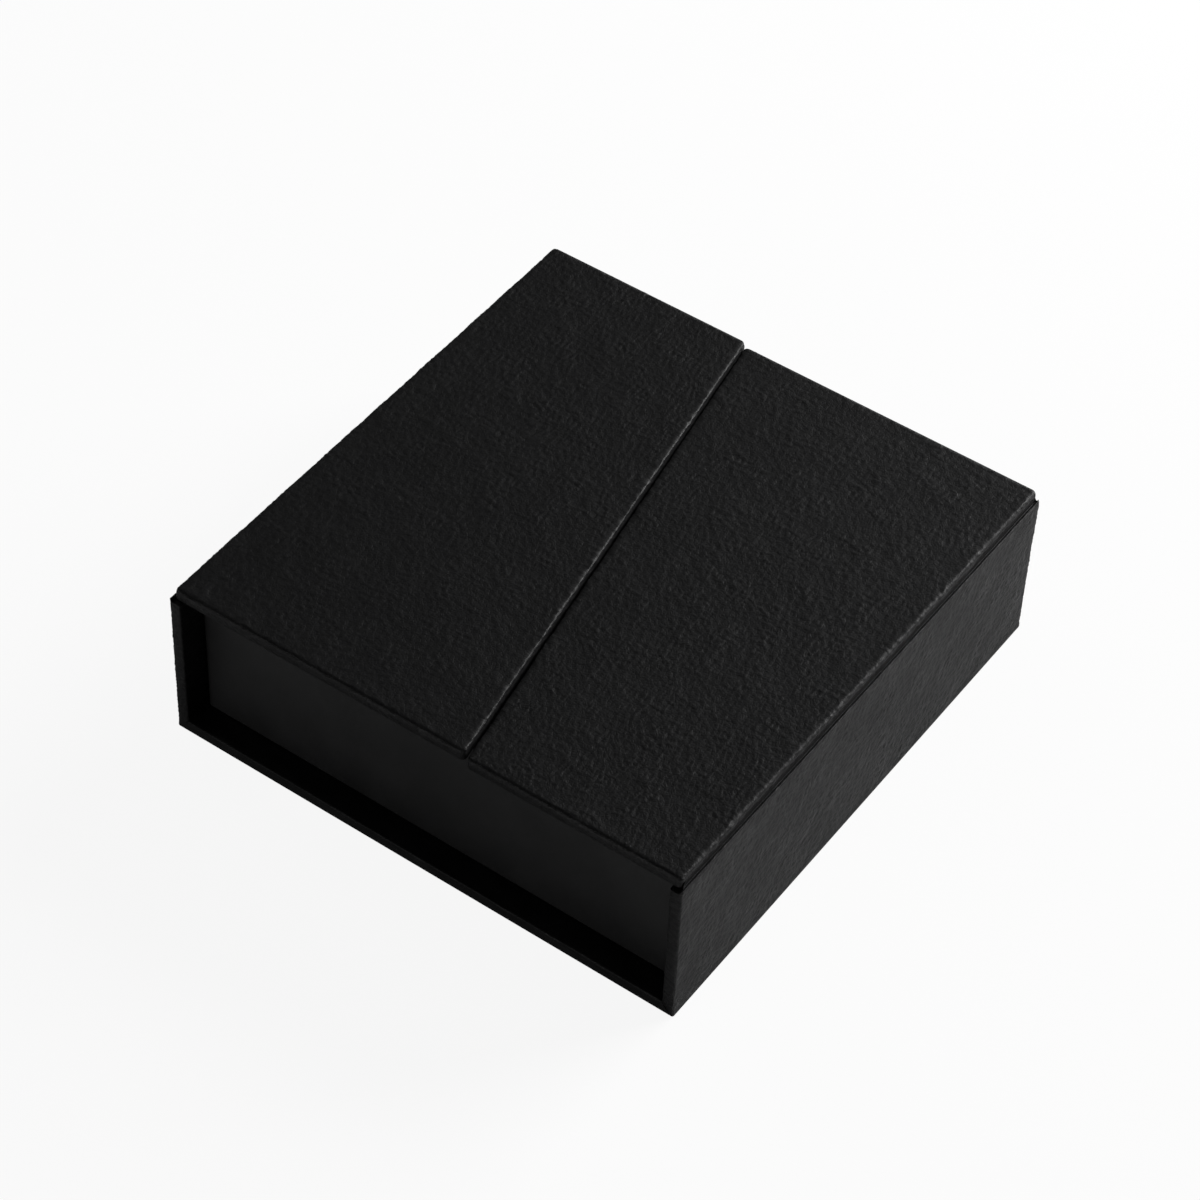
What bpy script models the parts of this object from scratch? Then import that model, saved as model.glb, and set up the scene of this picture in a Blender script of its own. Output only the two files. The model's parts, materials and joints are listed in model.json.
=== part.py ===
"""Two-door jewellery gift box: rigid greyboard in black leatherette, a paper tray and a velvet insert.

Metres, +Z up. X runs from the left door to the right door and -Y is the front end. The origin is the
middle of the underside. Two doors hinge on the creases of one leatherette sheet along the upper edges
of the sides, and meet at a slanted split that runs from the front end to the back end.
"""

import math

import bmesh
import bpy
from mathutils import Vector

# Overall size, to the outer face of the leatherette
CASE_WIDTH = 0.1
CASE_DEPTH = 0.104
CASE_HEIGHT = 0.033

# Sheets, boards and the room left for glue between two of them
LEATHERETTE = 0.0003
PAPER = 0.0003
GREYBOARD = 0.0012
CARD = 0.0008
VELVET = 0.0004
GLUE_GAP = 0.0003

# Case: base and sides in one wrap
CASE_TURN_IN = 0.008
CASE_EDGE_RADIUS = 0.0004

# Doors
DOOR_BORDER = 0.004
DOOR_EDGE_RADIUS = 0.0008
DOOR_CORNER_RADIUS = 0.001
DOOR_END_SETBACK = 0.0006
SPLIT_SLANT = 0.0178
SPLIT_GAP = 0.0004
LEFT_DOOR_LIFT = math.radians(0.6)
RIGHT_DOOR_SAG = math.radians(0.6)

# Hinge creases: a rolled ledge along the side's top, then a valley in front of the door's edge
HINGE_SETBACK = 0.0006
CREASE_GAP = 0.0003
LEDGE_RADIUS = 0.00035
VALLEY_RADIUS = 0.00015
VALLEY_LEAN = math.radians(20)
HINGE_LIP = 0.0008

# Tray
END_RECESS = 0.0048
TRAY_DROP = 0.0006
TRAY_EDGE_RADIUS = 0.0004
TRAY_CORNER_RADIUS = 0.0006
TRAY_UNDER_TURN = 0.01
TRAY_INNER_TURN = 0.014

# Velvet insert: a border on a folded card platform, round a well with a pad
RIM_DROP = 0.0003
RIM_BORDER = 0.01
RIM_EDGE_RADIUS = 0.0008
PAD_DEPTH_BELOW_RIM = 0.0118
PAD_CROWN = 0.001
PAD_CORNER_RADIUS = 0.0025
PAD_SHOULDER_DROP = 0.0022
RING_SLOT_LENGTH = 0.026
RING_SLOT_WIDTH = 0.0022
RING_SLOT_LIP_DROP = 0.0012
VELVET_TUCK = 0.0085

# Magnets and their keepers
MAGNET_DIAMETER = 0.006
MAGNET_THICKNESS = 0.001
MAGNET_CLEARANCE = 0.0003
MAGNET_FROM_SPLIT = 0.007

# How finely round work is faceted
ARC_STEPS = 4
DISC_SIDES = 32
PAD_CORNER_STEPS = 4
PAD_SIDE_STEPS = 6
PAD_CROWN_STEPS = 5
PAD_LIP_STEPS = 3
PAD_SHOULDER_SHARE = 0.07
PAD_LIP_SHARE = 0.06
LEAST_RADIUS = 0.00005
SHARP_ANGLE = math.radians(30)
CUT_OVERRUN = 0.001

# Sizes that follow from the ones above
HALF_WIDTH = CASE_WIDTH / 2
HALF_DEPTH = CASE_DEPTH / 2
SKIN = LEATHERETTE + GLUE_GAP
CASE_PANEL = 2 * SKIN + GREYBOARD
DOOR_PANEL = 2 * SKIN + GREYBOARD
SIDE_TOP = CASE_HEIGHT - DOOR_PANEL - CREASE_GAP
AXIS_HEIGHT = SIDE_TOP + CREASE_GAP / 2
DOOR_UNDERSIDE = CREASE_GAP / 2
DOOR_TOP = DOOR_UNDERSIDE + DOOR_PANEL
DOOR_HALF_DEPTH = HALF_DEPTH - DOOR_END_SETBACK
VALLEY_ACROSS = LEDGE_RADIUS + (LEDGE_RADIUS + VALLEY_RADIUS) * math.cos(VALLEY_LEAN)
VALLEY_HEIGHT = DOOR_UNDERSIDE + (LEDGE_RADIUS + VALLEY_RADIUS) * math.sin(VALLEY_LEAN)
LINING_LEG = max(VALLEY_ACROSS + VALLEY_RADIUS, HINGE_SETBACK) + SKIN

PAPER_SKIN = PAPER + GLUE_GAP
TRAY_WALL = 2 * PAPER_SKIN + GREYBOARD
TRAY_HALF_WIDTH = HALF_WIDTH - CASE_PANEL - GLUE_GAP
TRAY_HALF_DEPTH = HALF_DEPTH - END_RECESS
TRAY_TOP = SIDE_TOP - TRAY_DROP
TRAY_BOTTOM = CASE_PANEL + GLUE_GAP
TRAY_FLOOR = TRAY_BOTTOM + PAPER_SKIN + GREYBOARD

INSERT_HALF_WIDTH = TRAY_HALF_WIDTH - TRAY_WALL - GLUE_GAP
INSERT_HALF_DEPTH = TRAY_HALF_DEPTH - TRAY_WALL - GLUE_GAP
INSERT_FLOOR = TRAY_FLOOR + GLUE_GAP
RIM_TOP = TRAY_TOP - RIM_DROP
RIM_BOARD_TOP = RIM_TOP - VELVET - GLUE_GAP
RIM_BOARD_WIDTH = RIM_BORDER - VELVET - GLUE_GAP
PLATFORM_TOP = RIM_BOARD_TOP - GREYBOARD - GLUE_GAP
PAD_HALF_WIDTH = INSERT_HALF_WIDTH - RIM_BORDER - GLUE_GAP
PAD_HALF_DEPTH = INSERT_HALF_DEPTH - RIM_BORDER - GLUE_GAP
PAD_EDGE_TOP = SIDE_TOP - PAD_DEPTH_BELOW_RIM
MAGNET_ROW = INSERT_HALF_DEPTH - RIM_BOARD_WIDTH / 2


def clear_scene():
    """Remove whatever the scene holds."""
    for thing in list(bpy.data.objects):
        bpy.data.objects.remove(thing, do_unlink=True)


def make_material(name, color, roughness, metallic=0.0):
    """A Principled material of one colour."""
    material = bpy.data.materials.new(name)
    material.use_nodes = True
    shader = material.node_tree.nodes["Principled BSDF"]
    shader.inputs["Base Color"].default_value = (*color, 1.0)
    shader.inputs["Roughness"].default_value = roughness
    shader.inputs["Metallic"].default_value = metallic
    material.diffuse_color = (*color, 1.0)
    return material


def add_object(name, mesh, material, parent=None):
    """Put a mesh in the scene under its own name and material."""
    thing = bpy.data.objects.new(name, mesh)
    bpy.context.scene.collection.objects.link(thing)
    thing.parent = parent
    thing.material_slots[0].link = "OBJECT"
    thing.material_slots[0].material = material
    return thing


def add_empty(name, location, turn, parent=None):
    """An axis that pieces are hung from."""
    empty = bpy.data.objects.new(name, None)
    bpy.context.scene.collection.objects.link(empty)
    empty.location = location
    empty.rotation_euler = turn
    empty.parent = parent
    empty.empty_display_size = HALF_DEPTH
    return empty


def mesh_from(bm, name, smooth=False):
    """Turn a finished bmesh into a mesh with its faces pointing out and one empty material slot."""
    bmesh.ops.recalc_face_normals(bm, faces=bm.faces)
    mesh = bpy.data.meshes.new(name)
    bm.to_mesh(mesh)
    bm.free()
    mesh.materials.append(None)
    if smooth:
        mesh.shade_smooth()
        mesh.set_sharp_from_angle(angle=SHARP_ANGLE)
    return mesh


def loft(loops, ring=False):
    """Skin a row of loops with as many points each. A ring joins the last loop to the first one."""
    bm = bmesh.new()
    rows = [[bm.verts.new(point) for point in loop] for loop in loops]
    pairs = list(zip(rows, rows[1:]))
    if ring:
        pairs.append((rows[-1], rows[0]))
    else:
        bm.faces.new(rows[0])
        bm.faces.new(rows[-1])
    for lower, upper in pairs:
        for index in range(len(lower)):
            follow = (index + 1) % len(lower)
            bm.faces.new((lower[index], lower[follow], upper[follow], upper[index]))
    return bm


def arc(centre, radius, start, end, steps=ARC_STEPS):
    """Points on an arc in a plane, from one angle to another, both in degrees."""
    points = []
    for step in range(steps + 1):
        angle = math.radians(start + (end - start) * step / steps)
        points.append((centre[0] + radius * math.cos(angle), centre[1] + radius * math.sin(angle)))
    return points


def inset(outline, distances):
    """A convex outline with edge i, from point i to the next, moved inwards by distance i."""
    lines = []
    for index, start in enumerate(outline):
        along = (outline[(index + 1) % len(outline)] - start).normalized()
        inwards = Vector((-along.y, along.x))
        lines.append((start + inwards * distances[index], along))
    corners = []
    for index in range(len(outline)):
        first, along_first = lines[index - 1]
        second, along_second = lines[index]
        between = second - first
        share = between.cross(along_second) / along_first.cross(along_second)
        corners.append(first + along_first * share)
    return corners


def fillet(outline, radius):
    """A convex outline, counter-clockwise, with every corner rounded."""
    points = []
    for index, corner in enumerate(outline):
        to_last = (outline[index - 1] - corner).normalized()
        to_next = (outline[(index + 1) % len(outline)] - corner).normalized()
        half_angle = to_last.angle(to_next) / 2
        centre = corner + (to_last + to_next).normalized() * (radius / math.sin(half_angle))
        touch = corner + to_last * (radius / math.tan(half_angle)) - centre
        turn = 180 - 2 * math.degrees(half_angle)
        start = math.degrees(math.atan2(touch.y, touch.x))
        points.extend(Vector(point) for point in arc(centre, radius, start, start + turn))
    return points


def rectangle(half_width, half_depth):
    """The corners of a centred rectangle, counter-clockwise from the front left."""
    corners = ((-1, -1), (1, -1), (1, 1), (-1, 1))
    return [Vector((half_width * across, half_depth * along)) for across, along in corners]


def level_loop(outline, depth, height, corner_radius):
    """One loop of a profile that is carried round an outline, at a depth inside it and a height."""
    inner = fillet(inset(outline, [depth] * len(outline)), max(corner_radius - depth, LEAST_RADIUS))
    return [(point.x, point.y, height) for point in inner]


def carry_round(outline, profile, corner_radius, ring):
    """Carry a profile of depths and heights round an outline."""
    return loft([level_loop(outline, depth, height, corner_radius) for depth, height in profile], ring)


def prism(outline, bottom, top):
    """A flat board of the outline's shape."""
    return loft([[(point.x, point.y, height) for point in outline] for height in (bottom, top)])


def strip_along_depth(section, half_length):
    """A strip that keeps one section, given across and up, along the hinge."""
    ends = (-half_length, half_length)
    return loft([[(across, along, height) for across, height in section] for along in ends])


def disc(radius, thickness, centre):
    """A flat round disc on its centre."""
    bm = bmesh.new()
    bmesh.ops.create_cone(
        bm, cap_ends=True, segments=DISC_SIDES, radius1=radius, radius2=radius, depth=thickness
    )
    bmesh.ops.translate(bm, verts=bm.verts, vec=centre)
    return bm


def block(low, high):
    """A box between two corners."""
    corners = ((low[0], low[1]), (high[0], low[1]), (high[0], high[1]), (low[0], high[1]))
    return prism([Vector(corner) for corner in corners], low[2], high[2])


def cut(thing, name, bm):
    """Cut a shape, given in the piece's own frame, out of a piece."""
    cutter = bpy.data.objects.new(name, mesh_from(bm, name))
    bpy.context.scene.collection.objects.link(cutter)
    cutter.parent = thing.parent
    cutter.hide_render = True
    cutter.display_type = "WIRE"
    modifier = thing.modifiers.new(name, "BOOLEAN")
    modifier.operation = "DIFFERENCE"
    modifier.solver = "EXACT"
    modifier.object = cutter


# Case: one leatherette wrap round the base board and the two side boards

def hook_section(half_length, panel, turn_in, radius):
    """The section of a sheet laid over a board and turned in at both ends, as (along, depth) points.

    Depth runs from the outer face, 0, to the inner face, panel. The outer corners are rounded.
    """
    near, far = radius - half_length, half_length - radius
    outer = [(turn_in - half_length, panel)]
    outer += arc((near, panel - radius), radius, 90, 180)
    outer += arc((near, radius), radius, 180, 270)
    outer += arc((far, radius), radius, 270, 360)
    outer += arc((far, panel - radius), radius, 0, 90)
    outer.append((half_length - turn_in, panel))
    end = half_length - LEATHERETTE
    deep = panel - LEATHERETTE
    inner = [(half_length - turn_in, deep), (end, deep), (end, LEATHERETTE)]
    inner += [(-end, LEATHERETTE), (-end, deep), (turn_in - half_length, deep)]
    return outer + inner


def case_path(depth):
    """The way down the left side, under the base and up the right side, at a depth inside the wrap."""
    radius = max(CASE_EDGE_RADIUS - depth, LEAST_RADIUS)
    across = HALF_WIDTH - depth - radius
    up = depth + radius
    left = [(depth - HALF_WIDTH, SIDE_TOP)] + arc((-across, up), radius, 180, 270)
    return left + [(-x, z) for x, z in reversed(left)]


def build_case(leatherette, greyboard, hinge_lines):
    """The wrap in one sheet, the base board and the two side boards inside it."""
    section = hook_section(HALF_DEPTH, CASE_PANEL, CASE_TURN_IN, CASE_EDGE_RADIUS)
    paths = [case_path(depth) for _, depth in section]
    stations = [
        [(path[station][0], along, path[station][1]) for (along, _), path in zip(section, paths)]
        for station in range(len(paths[0]))
    ]
    add_object("case_wrap", mesh_from(loft(stations), "case_wrap", smooth=True), leatherette)

    base = rectangle(HALF_WIDTH - SKIN - GREYBOARD - GLUE_GAP, HALF_DEPTH - SKIN)
    add_object("base_board", mesh_from(prism(base, SKIN, SKIN + GREYBOARD), "base_board"), greyboard)

    low = (SKIN, SKIN - HALF_DEPTH, SKIN - AXIS_HEIGHT)
    high = (SKIN + GREYBOARD, HALF_DEPTH - SKIN, SIDE_TOP - PAPER_SKIN - GLUE_GAP - AXIS_HEIGHT)
    side = mesh_from(block(low, high), "side_board")
    for hand, line in hinge_lines.items():
        add_object(f"{hand}_side_board", side, greyboard, line)


# Hinge creases, in a frame with its origin on the hinge axis, X inwards and Z up

def build_creases(leatherette, paper, hinge_lines):
    """The leatherette that rolls over, dips and goes up the door's edge, and the lining inside it."""
    ledge = (LEDGE_RADIUS, DOOR_UNDERSIDE)
    valley = (VALLEY_ACROSS, VALLEY_HEIGHT)
    lean = math.degrees(VALLEY_LEAN)
    high = DOOR_TOP - HINGE_LIP - GLUE_GAP
    under_ledge = max(LEDGE_RADIUS - LEATHERETTE, LEAST_RADIUS)
    section = arc(ledge, LEDGE_RADIUS, 180, lean)
    section += arc(valley, VALLEY_RADIUS, 180 + lean, 360)[1:]
    section += [(HINGE_SETBACK, high), (HINGE_SETBACK + LEATHERETTE, high)]
    section += arc(valley, VALLEY_RADIUS + LEATHERETTE, 360, 180 + lean)
    section += arc(ledge, under_ledge, lean, 180)[1:]
    crease = mesh_from(strip_along_depth(section, DOOR_HALF_DEPTH - SKIN), "hinge_crease", smooth=True)

    # The lining lies over the side board's top edge and stands up against the door's liner.
    shelf = SIDE_TOP - AXIS_HEIGHT - PAPER_SKIN
    reach = CASE_PANEL
    stand = DOOR_UNDERSIDE + PAPER
    angle = [(LINING_LEG, stand), (LINING_LEG, shelf), (reach, shelf), (reach, shelf + PAPER)]
    angle += [(LINING_LEG + PAPER, shelf + PAPER), (LINING_LEG + PAPER, stand)]
    lining_length = HALF_DEPTH - CASE_TURN_IN - GLUE_GAP
    lining = mesh_from(strip_along_depth(angle, lining_length), "hinge_lining")
    for hand, line in hinge_lines.items():
        add_object(f"{hand}_hinge_crease", crease, leatherette, line)
        add_object(f"{hand}_hinge_lining", lining, paper, line)


# Doors, in the same frame: both are one shape, because the split turns half round into itself

def split_across(along, side):
    """How far from the hinge axis the split's middle (side 0) or a door's free edge (side 1) lies."""
    slope = math.atan2(SPLIT_SLANT, CASE_DEPTH)
    return HALF_WIDTH - SPLIT_SLANT * along / CASE_DEPTH - side * SPLIT_GAP / 2 / math.cos(slope)


def door_outline():
    """The door seen from above: front edge, free edge, back edge and hinge edge in turn."""
    front, back = -DOOR_HALF_DEPTH, DOOR_HALF_DEPTH
    return [
        Vector((HINGE_SETBACK, front)),
        Vector((split_across(front, 1), front)),
        Vector((split_across(back, 1), back)),
        Vector((HINGE_SETBACK, back)),
    ]


def door_magnet_places():
    """The two magnets of a door, near the free edge and over the tray's rim."""
    places = {}
    for end, along in (("near", -MAGNET_ROW), ("far", MAGNET_ROW)):
        places[end] = (split_across(along, 1) - MAGNET_FROM_SPLIT, along)
    return places


def door_wrap_sheet():
    """A sheet over the door's top and edges, turned in under the free, front and back edges."""
    radius = DOOR_EDGE_RADIUS
    top, low = DOOR_TOP, DOOR_UNDERSIDE
    profile = [(depth, height) for depth, height in arc((radius, top - radius), radius, 90, 180)]
    profile += arc((radius, low + radius), radius, 180, 270)
    profile += [(DOOR_BORDER, low), (DOOR_BORDER, low + LEATHERETTE), (LEATHERETTE, low + LEATHERETTE)]
    profile.append((LEATHERETTE, top - LEATHERETTE))
    return carry_round(door_outline(), profile, DOOR_CORNER_RADIUS, ring=False)


def build_door(hand, swing, meshes, materials):
    """One door's board, wrap, liner and magnets, hung from its swing axis."""
    leatherette, greyboard, paper, magnet = materials
    wrap = add_object(f"{hand}_door_wrap", meshes["wrap"], leatherette, swing)
    # Along the hinge the sheet isn't turned in: it ends in a short lip, and the crease goes on from it.
    inner_end = DOOR_HALF_DEPTH - SKIN
    lip = DOOR_TOP - HINGE_LIP
    below = DOOR_UNDERSIDE - CUT_OVERRUN
    edge = block((-CUT_OVERRUN, -inner_end, below), (LINING_LEG, inner_end, lip))
    cut(wrap, f"{hand}_door_lip_cutter", edge)
    border_end = DOOR_HALF_DEPTH - DOOR_BORDER
    hidden = HINGE_SETBACK + DOOR_BORDER + CUT_OVERRUN
    under = block((HINGE_SETBACK, -border_end, below), (hidden, border_end, DOOR_UNDERSIDE + SKIN))
    cut(wrap, f"{hand}_door_border_cutter", under)

    board = add_object(f"{hand}_door_board", meshes["board"], greyboard, swing)
    add_object(f"{hand}_door_liner", meshes["liner"], paper, swing)
    middle = DOOR_UNDERSIDE + SKIN + GREYBOARD / 2
    for end, (across, along) in door_magnet_places().items():
        at_front = (end == "near") == (hand == "left")
        place = f"{hand}_door_magnet_{'front' if at_front else 'back'}"
        centre = Vector((across, along, middle))
        pocket = disc(MAGNET_DIAMETER / 2 + MAGNET_CLEARANCE, GREYBOARD + 2 * CUT_OVERRUN, centre)
        cut(board, f"{place}_pocket_cutter", pocket)
        round_magnet = mesh_from(disc(MAGNET_DIAMETER / 2, MAGNET_THICKNESS, centre), place, smooth=True)
        add_object(place, round_magnet, magnet, swing)


def build_doors(materials, swings):
    """Both doors, which share their wrap, board and liner shapes."""
    outline = door_outline()
    board_bottom = DOOR_UNDERSIDE + SKIN
    board = inset(outline, [SKIN, SKIN, SKIN, LINING_LEG - HINGE_SETBACK])
    border = DOOR_BORDER + GLUE_GAP
    liner = inset(outline, [border, border, border, LINING_LEG + PAPER_SKIN - HINGE_SETBACK])
    meshes = {
        "wrap": mesh_from(door_wrap_sheet(), "door_wrap", smooth=True),
        "board": mesh_from(prism(board, board_bottom, board_bottom + GREYBOARD), "door_board"),
        "liner": mesh_from(prism(liner, DOOR_UNDERSIDE, DOOR_UNDERSIDE + PAPER), "door_liner"),
    }
    for hand, swing in swings.items():
        build_door(hand, swing, meshes, materials)


# Tray: a scored and folded board box in smooth paper, set back from both ends of the case

def build_tray(greyboard, paper):
    """The folded board box and the paper that covers its walls, its rim and the top of its inside."""
    outline = rectangle(TRAY_HALF_WIDTH, TRAY_HALF_DEPTH)
    radius = TRAY_EDGE_RADIUS
    top, low, wall = TRAY_TOP, TRAY_BOTTOM, TRAY_WALL
    paper_profile = [(TRAY_UNDER_TURN, low)]
    paper_profile += reversed(arc((radius, low + radius), radius, 180, 270))
    paper_profile += reversed(arc((radius, top - radius), radius, 90, 180))
    paper_profile += reversed(arc((wall - radius, top - radius), radius, 0, 90))
    paper_profile += [(wall, top - TRAY_INNER_TURN), (wall - PAPER, top - TRAY_INNER_TURN)]
    paper_profile += [(wall - PAPER, top - PAPER), (PAPER, top - PAPER)]
    paper_profile += [(PAPER, low + PAPER), (TRAY_UNDER_TURN, low + PAPER)]
    cover = carry_round(outline, paper_profile, TRAY_CORNER_RADIUS, ring=True)
    add_object("tray_wrap", mesh_from(cover, "tray_wrap", smooth=True), paper)

    outer, inner = PAPER_SKIN, PAPER_SKIN + GREYBOARD
    rim = top - PAPER_SKIN
    board_profile = [(outer, low + PAPER_SKIN), (outer, rim), (inner, rim), (inner, TRAY_FLOOR)]
    board = carry_round(outline, board_profile, TRAY_CORNER_RADIUS, ring=False)
    add_object("tray_board", mesh_from(board, "tray_board"), greyboard)


# Insert: velvet border on a folded card platform, round a well that holds a velvet pad

def build_rim(greyboard, card, velvet):
    """The folded card platform, the border board that lies on it and the velvet over both."""
    outline = rectangle(INSERT_HALF_WIDTH, INSERT_HALF_DEPTH)
    leg = RIM_BOARD_WIDTH
    fold = [(0, INSERT_FLOOR), (0, PLATFORM_TOP), (leg, PLATFORM_TOP), (leg, INSERT_FLOOR)]
    fold += [(leg - CARD, INSERT_FLOOR), (leg - CARD, PLATFORM_TOP - CARD)]
    fold += [(CARD, PLATFORM_TOP - CARD), (CARD, INSERT_FLOOR)]
    platform = carry_round(outline, fold, TRAY_CORNER_RADIUS, ring=True)
    add_object("insert_platform", mesh_from(platform, "insert_platform"), card)

    bottom = RIM_BOARD_TOP - GREYBOARD
    flat = [(0, bottom), (0, RIM_BOARD_TOP), (leg, RIM_BOARD_TOP), (leg, bottom)]
    border = carry_round(outline, flat, TRAY_CORNER_RADIUS, ring=True)
    board = add_object("rim_board", mesh_from(border, "rim_board"), greyboard)

    radius = RIM_EDGE_RADIUS
    cloth = [(0, RIM_TOP)] + arc((RIM_BORDER - radius, RIM_TOP - radius), radius, 90, 0)
    cloth += [(RIM_BORDER, INSERT_FLOOR), (RIM_BORDER - VELVET, INSERT_FLOOR)]
    cloth += [(RIM_BORDER - VELVET, RIM_TOP - VELVET), (0, RIM_TOP - VELVET)]
    cover = carry_round(outline, cloth, TRAY_CORNER_RADIUS, ring=True)
    add_object("rim_velvet", mesh_from(cover, "rim_velvet", smooth=True), velvet)
    return board


def build_keepers(rim_board, steel):
    """A steel disc in the rim board under each door magnet."""
    middle = RIM_BOARD_TOP - GREYBOARD / 2
    for hand, turn in (("left", 1), ("right", -1)):
        for across, along in door_magnet_places().values():
            centre = Vector((turn * (across - HALF_WIDTH), turn * along, middle))
            place = f"{hand}_keeper_disc_{'front' if centre.y < 0 else 'back'}"
            pocket = disc(MAGNET_DIAMETER / 2 + MAGNET_CLEARANCE, GREYBOARD + 2 * CUT_OVERRUN, centre)
            cut(rim_board, f"{place}_pocket_cutter", pocket)
            keeper = mesh_from(disc(MAGNET_DIAMETER / 2, MAGNET_THICKNESS, centre), place, smooth=True)
            add_object(place, keeper, steel)


def rounded_rectangle(half_width, half_depth, radius):
    """Points round a rectangle, as many on each side and corner whatever its size."""
    points = []
    starts = ((1, 1, 0), (-1, 1, 90), (-1, -1, 180), (1, -1, 270))
    for across, along, start in starts:
        centre = (across * (half_width - radius), along * (half_depth - radius))
        points.append(arc(centre, radius, start, start + 90, PAD_CORNER_STEPS))
    loop = []
    for index, corner in enumerate(points):
        loop.extend(Vector(point) for point in corner)
        last, first = Vector(corner[-1]), Vector(points[(index + 1) % len(points)][0])
        for step in range(1, PAD_SIDE_STEPS):
            loop.append(last.lerp(first, step / PAD_SIDE_STEPS))
    return loop


def pad_surface(depth, tuck):
    """The pad's skin at a depth below the velvet's face, as loops from the foot to the ring slot.

    Each loop is a blend of the pad's outline and the slot's outline. The foot is at the outline, the
    shoulder and the slot's lip are quarter rounds, and the crown between them is a quarter sine.
    """
    outer = rounded_rectangle(
        PAD_HALF_WIDTH - depth, PAD_HALF_DEPTH - depth, max(PAD_CORNER_RADIUS - depth, LEAST_RADIUS)
    )
    half_length, half_width = RING_SLOT_LENGTH / 2 + depth, RING_SLOT_WIDTH / 2 + depth
    slot = rounded_rectangle(half_length, half_width, half_width - LEAST_RADIUS)
    edge = PAD_EDGE_TOP - depth
    rows = [(0, INSERT_FLOOR)]
    for step in range(ARC_STEPS + 1):
        angle = math.pi / 2 * step / ARC_STEPS
        height = edge - PAD_SHOULDER_DROP * (1 - math.sin(angle))
        rows.append((PAD_SHOULDER_SHARE * (1 - math.cos(angle)), height))
    flat_share = 1 - PAD_SHOULDER_SHARE - PAD_LIP_SHARE
    for step in range(1, PAD_CROWN_STEPS + 1):
        share = step / PAD_CROWN_STEPS
        height = edge + PAD_CROWN * math.sin(math.pi / 2 * share)
        rows.append((PAD_SHOULDER_SHARE + flat_share * share, height))
    for step in range(1, PAD_LIP_STEPS + 1):
        angle = math.pi / 2 * step / PAD_LIP_STEPS
        height = edge + PAD_CROWN - RING_SLOT_LIP_DROP * (1 - math.cos(angle))
        rows.append((1 - PAD_LIP_SHARE * (1 - math.sin(angle)), height))
    rows.append((1, tuck))
    return [
        [(*start.lerp(end, share), height) for start, end in zip(outer, slot)]
        for share, height in rows
    ]


def build_pad(foam, velvet):
    """The foam pad with its ring slot, and the velvet stretched over it and tucked into the slot."""
    tuck = PAD_EDGE_TOP + PAD_CROWN - VELVET_TUCK
    cover = loft(pad_surface(0, tuck) + pad_surface(VELVET, tuck)[::-1], ring=True)
    add_object("pad_velvet", mesh_from(cover, "pad_velvet", smooth=True), velvet)
    core = loft(pad_surface(VELVET + GLUE_GAP, INSERT_FLOOR), ring=True)
    add_object("pad_foam", mesh_from(core, "pad_foam", smooth=True), foam)


def main():
    clear_scene()
    leatherette = make_material("black_leatherette", (0.018, 0.018, 0.019), 0.42)
    greyboard = make_material("greyboard", (0.30, 0.28, 0.25), 0.9)
    paper = make_material("black_paper", (0.014, 0.014, 0.014), 0.65)
    card = make_material("black_card", (0.02, 0.02, 0.02), 0.8)
    velvet = make_material("black_velvet", (0.01, 0.01, 0.011), 1.0)
    foam = make_material("grey_foam", (0.16, 0.16, 0.17), 0.95)
    magnet = make_material("nickel_plate", (0.66, 0.63, 0.58), 0.25, 1.0)
    steel = make_material("zinc_plated_steel", (0.55, 0.56, 0.58), 0.35, 1.0)

    places = {"left": (-HALF_WIDTH, 0, LEFT_DOOR_LIFT), "right": (HALF_WIDTH, math.pi, -RIGHT_DOOR_SAG)}
    hinge_lines = {}
    swings = {}
    for hand, (across, turn, lift) in places.items():
        line = add_empty(f"{hand}_hinge_line", (across, 0, AXIS_HEIGHT), (0, 0, turn))
        hinge_lines[hand] = line
        swings[hand] = add_empty(f"{hand}_door_swing", (0, 0, 0), (0, -lift, 0), line)

    build_case(leatherette, greyboard, hinge_lines)
    build_creases(leatherette, paper, hinge_lines)
    build_doors((leatherette, greyboard, paper, magnet), swings)
    build_tray(greyboard, paper)
    rim_board = build_rim(greyboard, card, velvet)
    build_keepers(rim_board, steel)
    build_pad(foam, velvet)


main()
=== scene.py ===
import json
import math

import bmesh
import bpy
import numpy as np
from mathutils import Matrix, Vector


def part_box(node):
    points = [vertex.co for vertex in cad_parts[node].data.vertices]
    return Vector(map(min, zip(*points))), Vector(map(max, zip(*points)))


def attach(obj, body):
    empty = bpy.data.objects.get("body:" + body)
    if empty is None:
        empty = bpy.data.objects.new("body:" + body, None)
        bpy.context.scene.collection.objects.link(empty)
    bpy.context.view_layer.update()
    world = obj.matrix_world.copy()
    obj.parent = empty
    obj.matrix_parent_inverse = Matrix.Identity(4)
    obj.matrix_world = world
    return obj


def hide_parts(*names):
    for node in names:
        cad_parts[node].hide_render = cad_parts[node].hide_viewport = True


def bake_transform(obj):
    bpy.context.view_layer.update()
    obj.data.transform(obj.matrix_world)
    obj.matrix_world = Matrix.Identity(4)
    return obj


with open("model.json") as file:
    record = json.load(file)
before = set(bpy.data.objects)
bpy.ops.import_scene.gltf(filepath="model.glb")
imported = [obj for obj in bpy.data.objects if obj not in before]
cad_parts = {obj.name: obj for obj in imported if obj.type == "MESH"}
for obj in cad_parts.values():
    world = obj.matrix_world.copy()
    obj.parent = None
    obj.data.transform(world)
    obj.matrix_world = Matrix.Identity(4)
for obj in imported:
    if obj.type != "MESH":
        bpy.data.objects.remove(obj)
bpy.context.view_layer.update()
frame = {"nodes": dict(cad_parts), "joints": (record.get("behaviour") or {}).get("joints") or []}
print("frame loaded")

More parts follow.
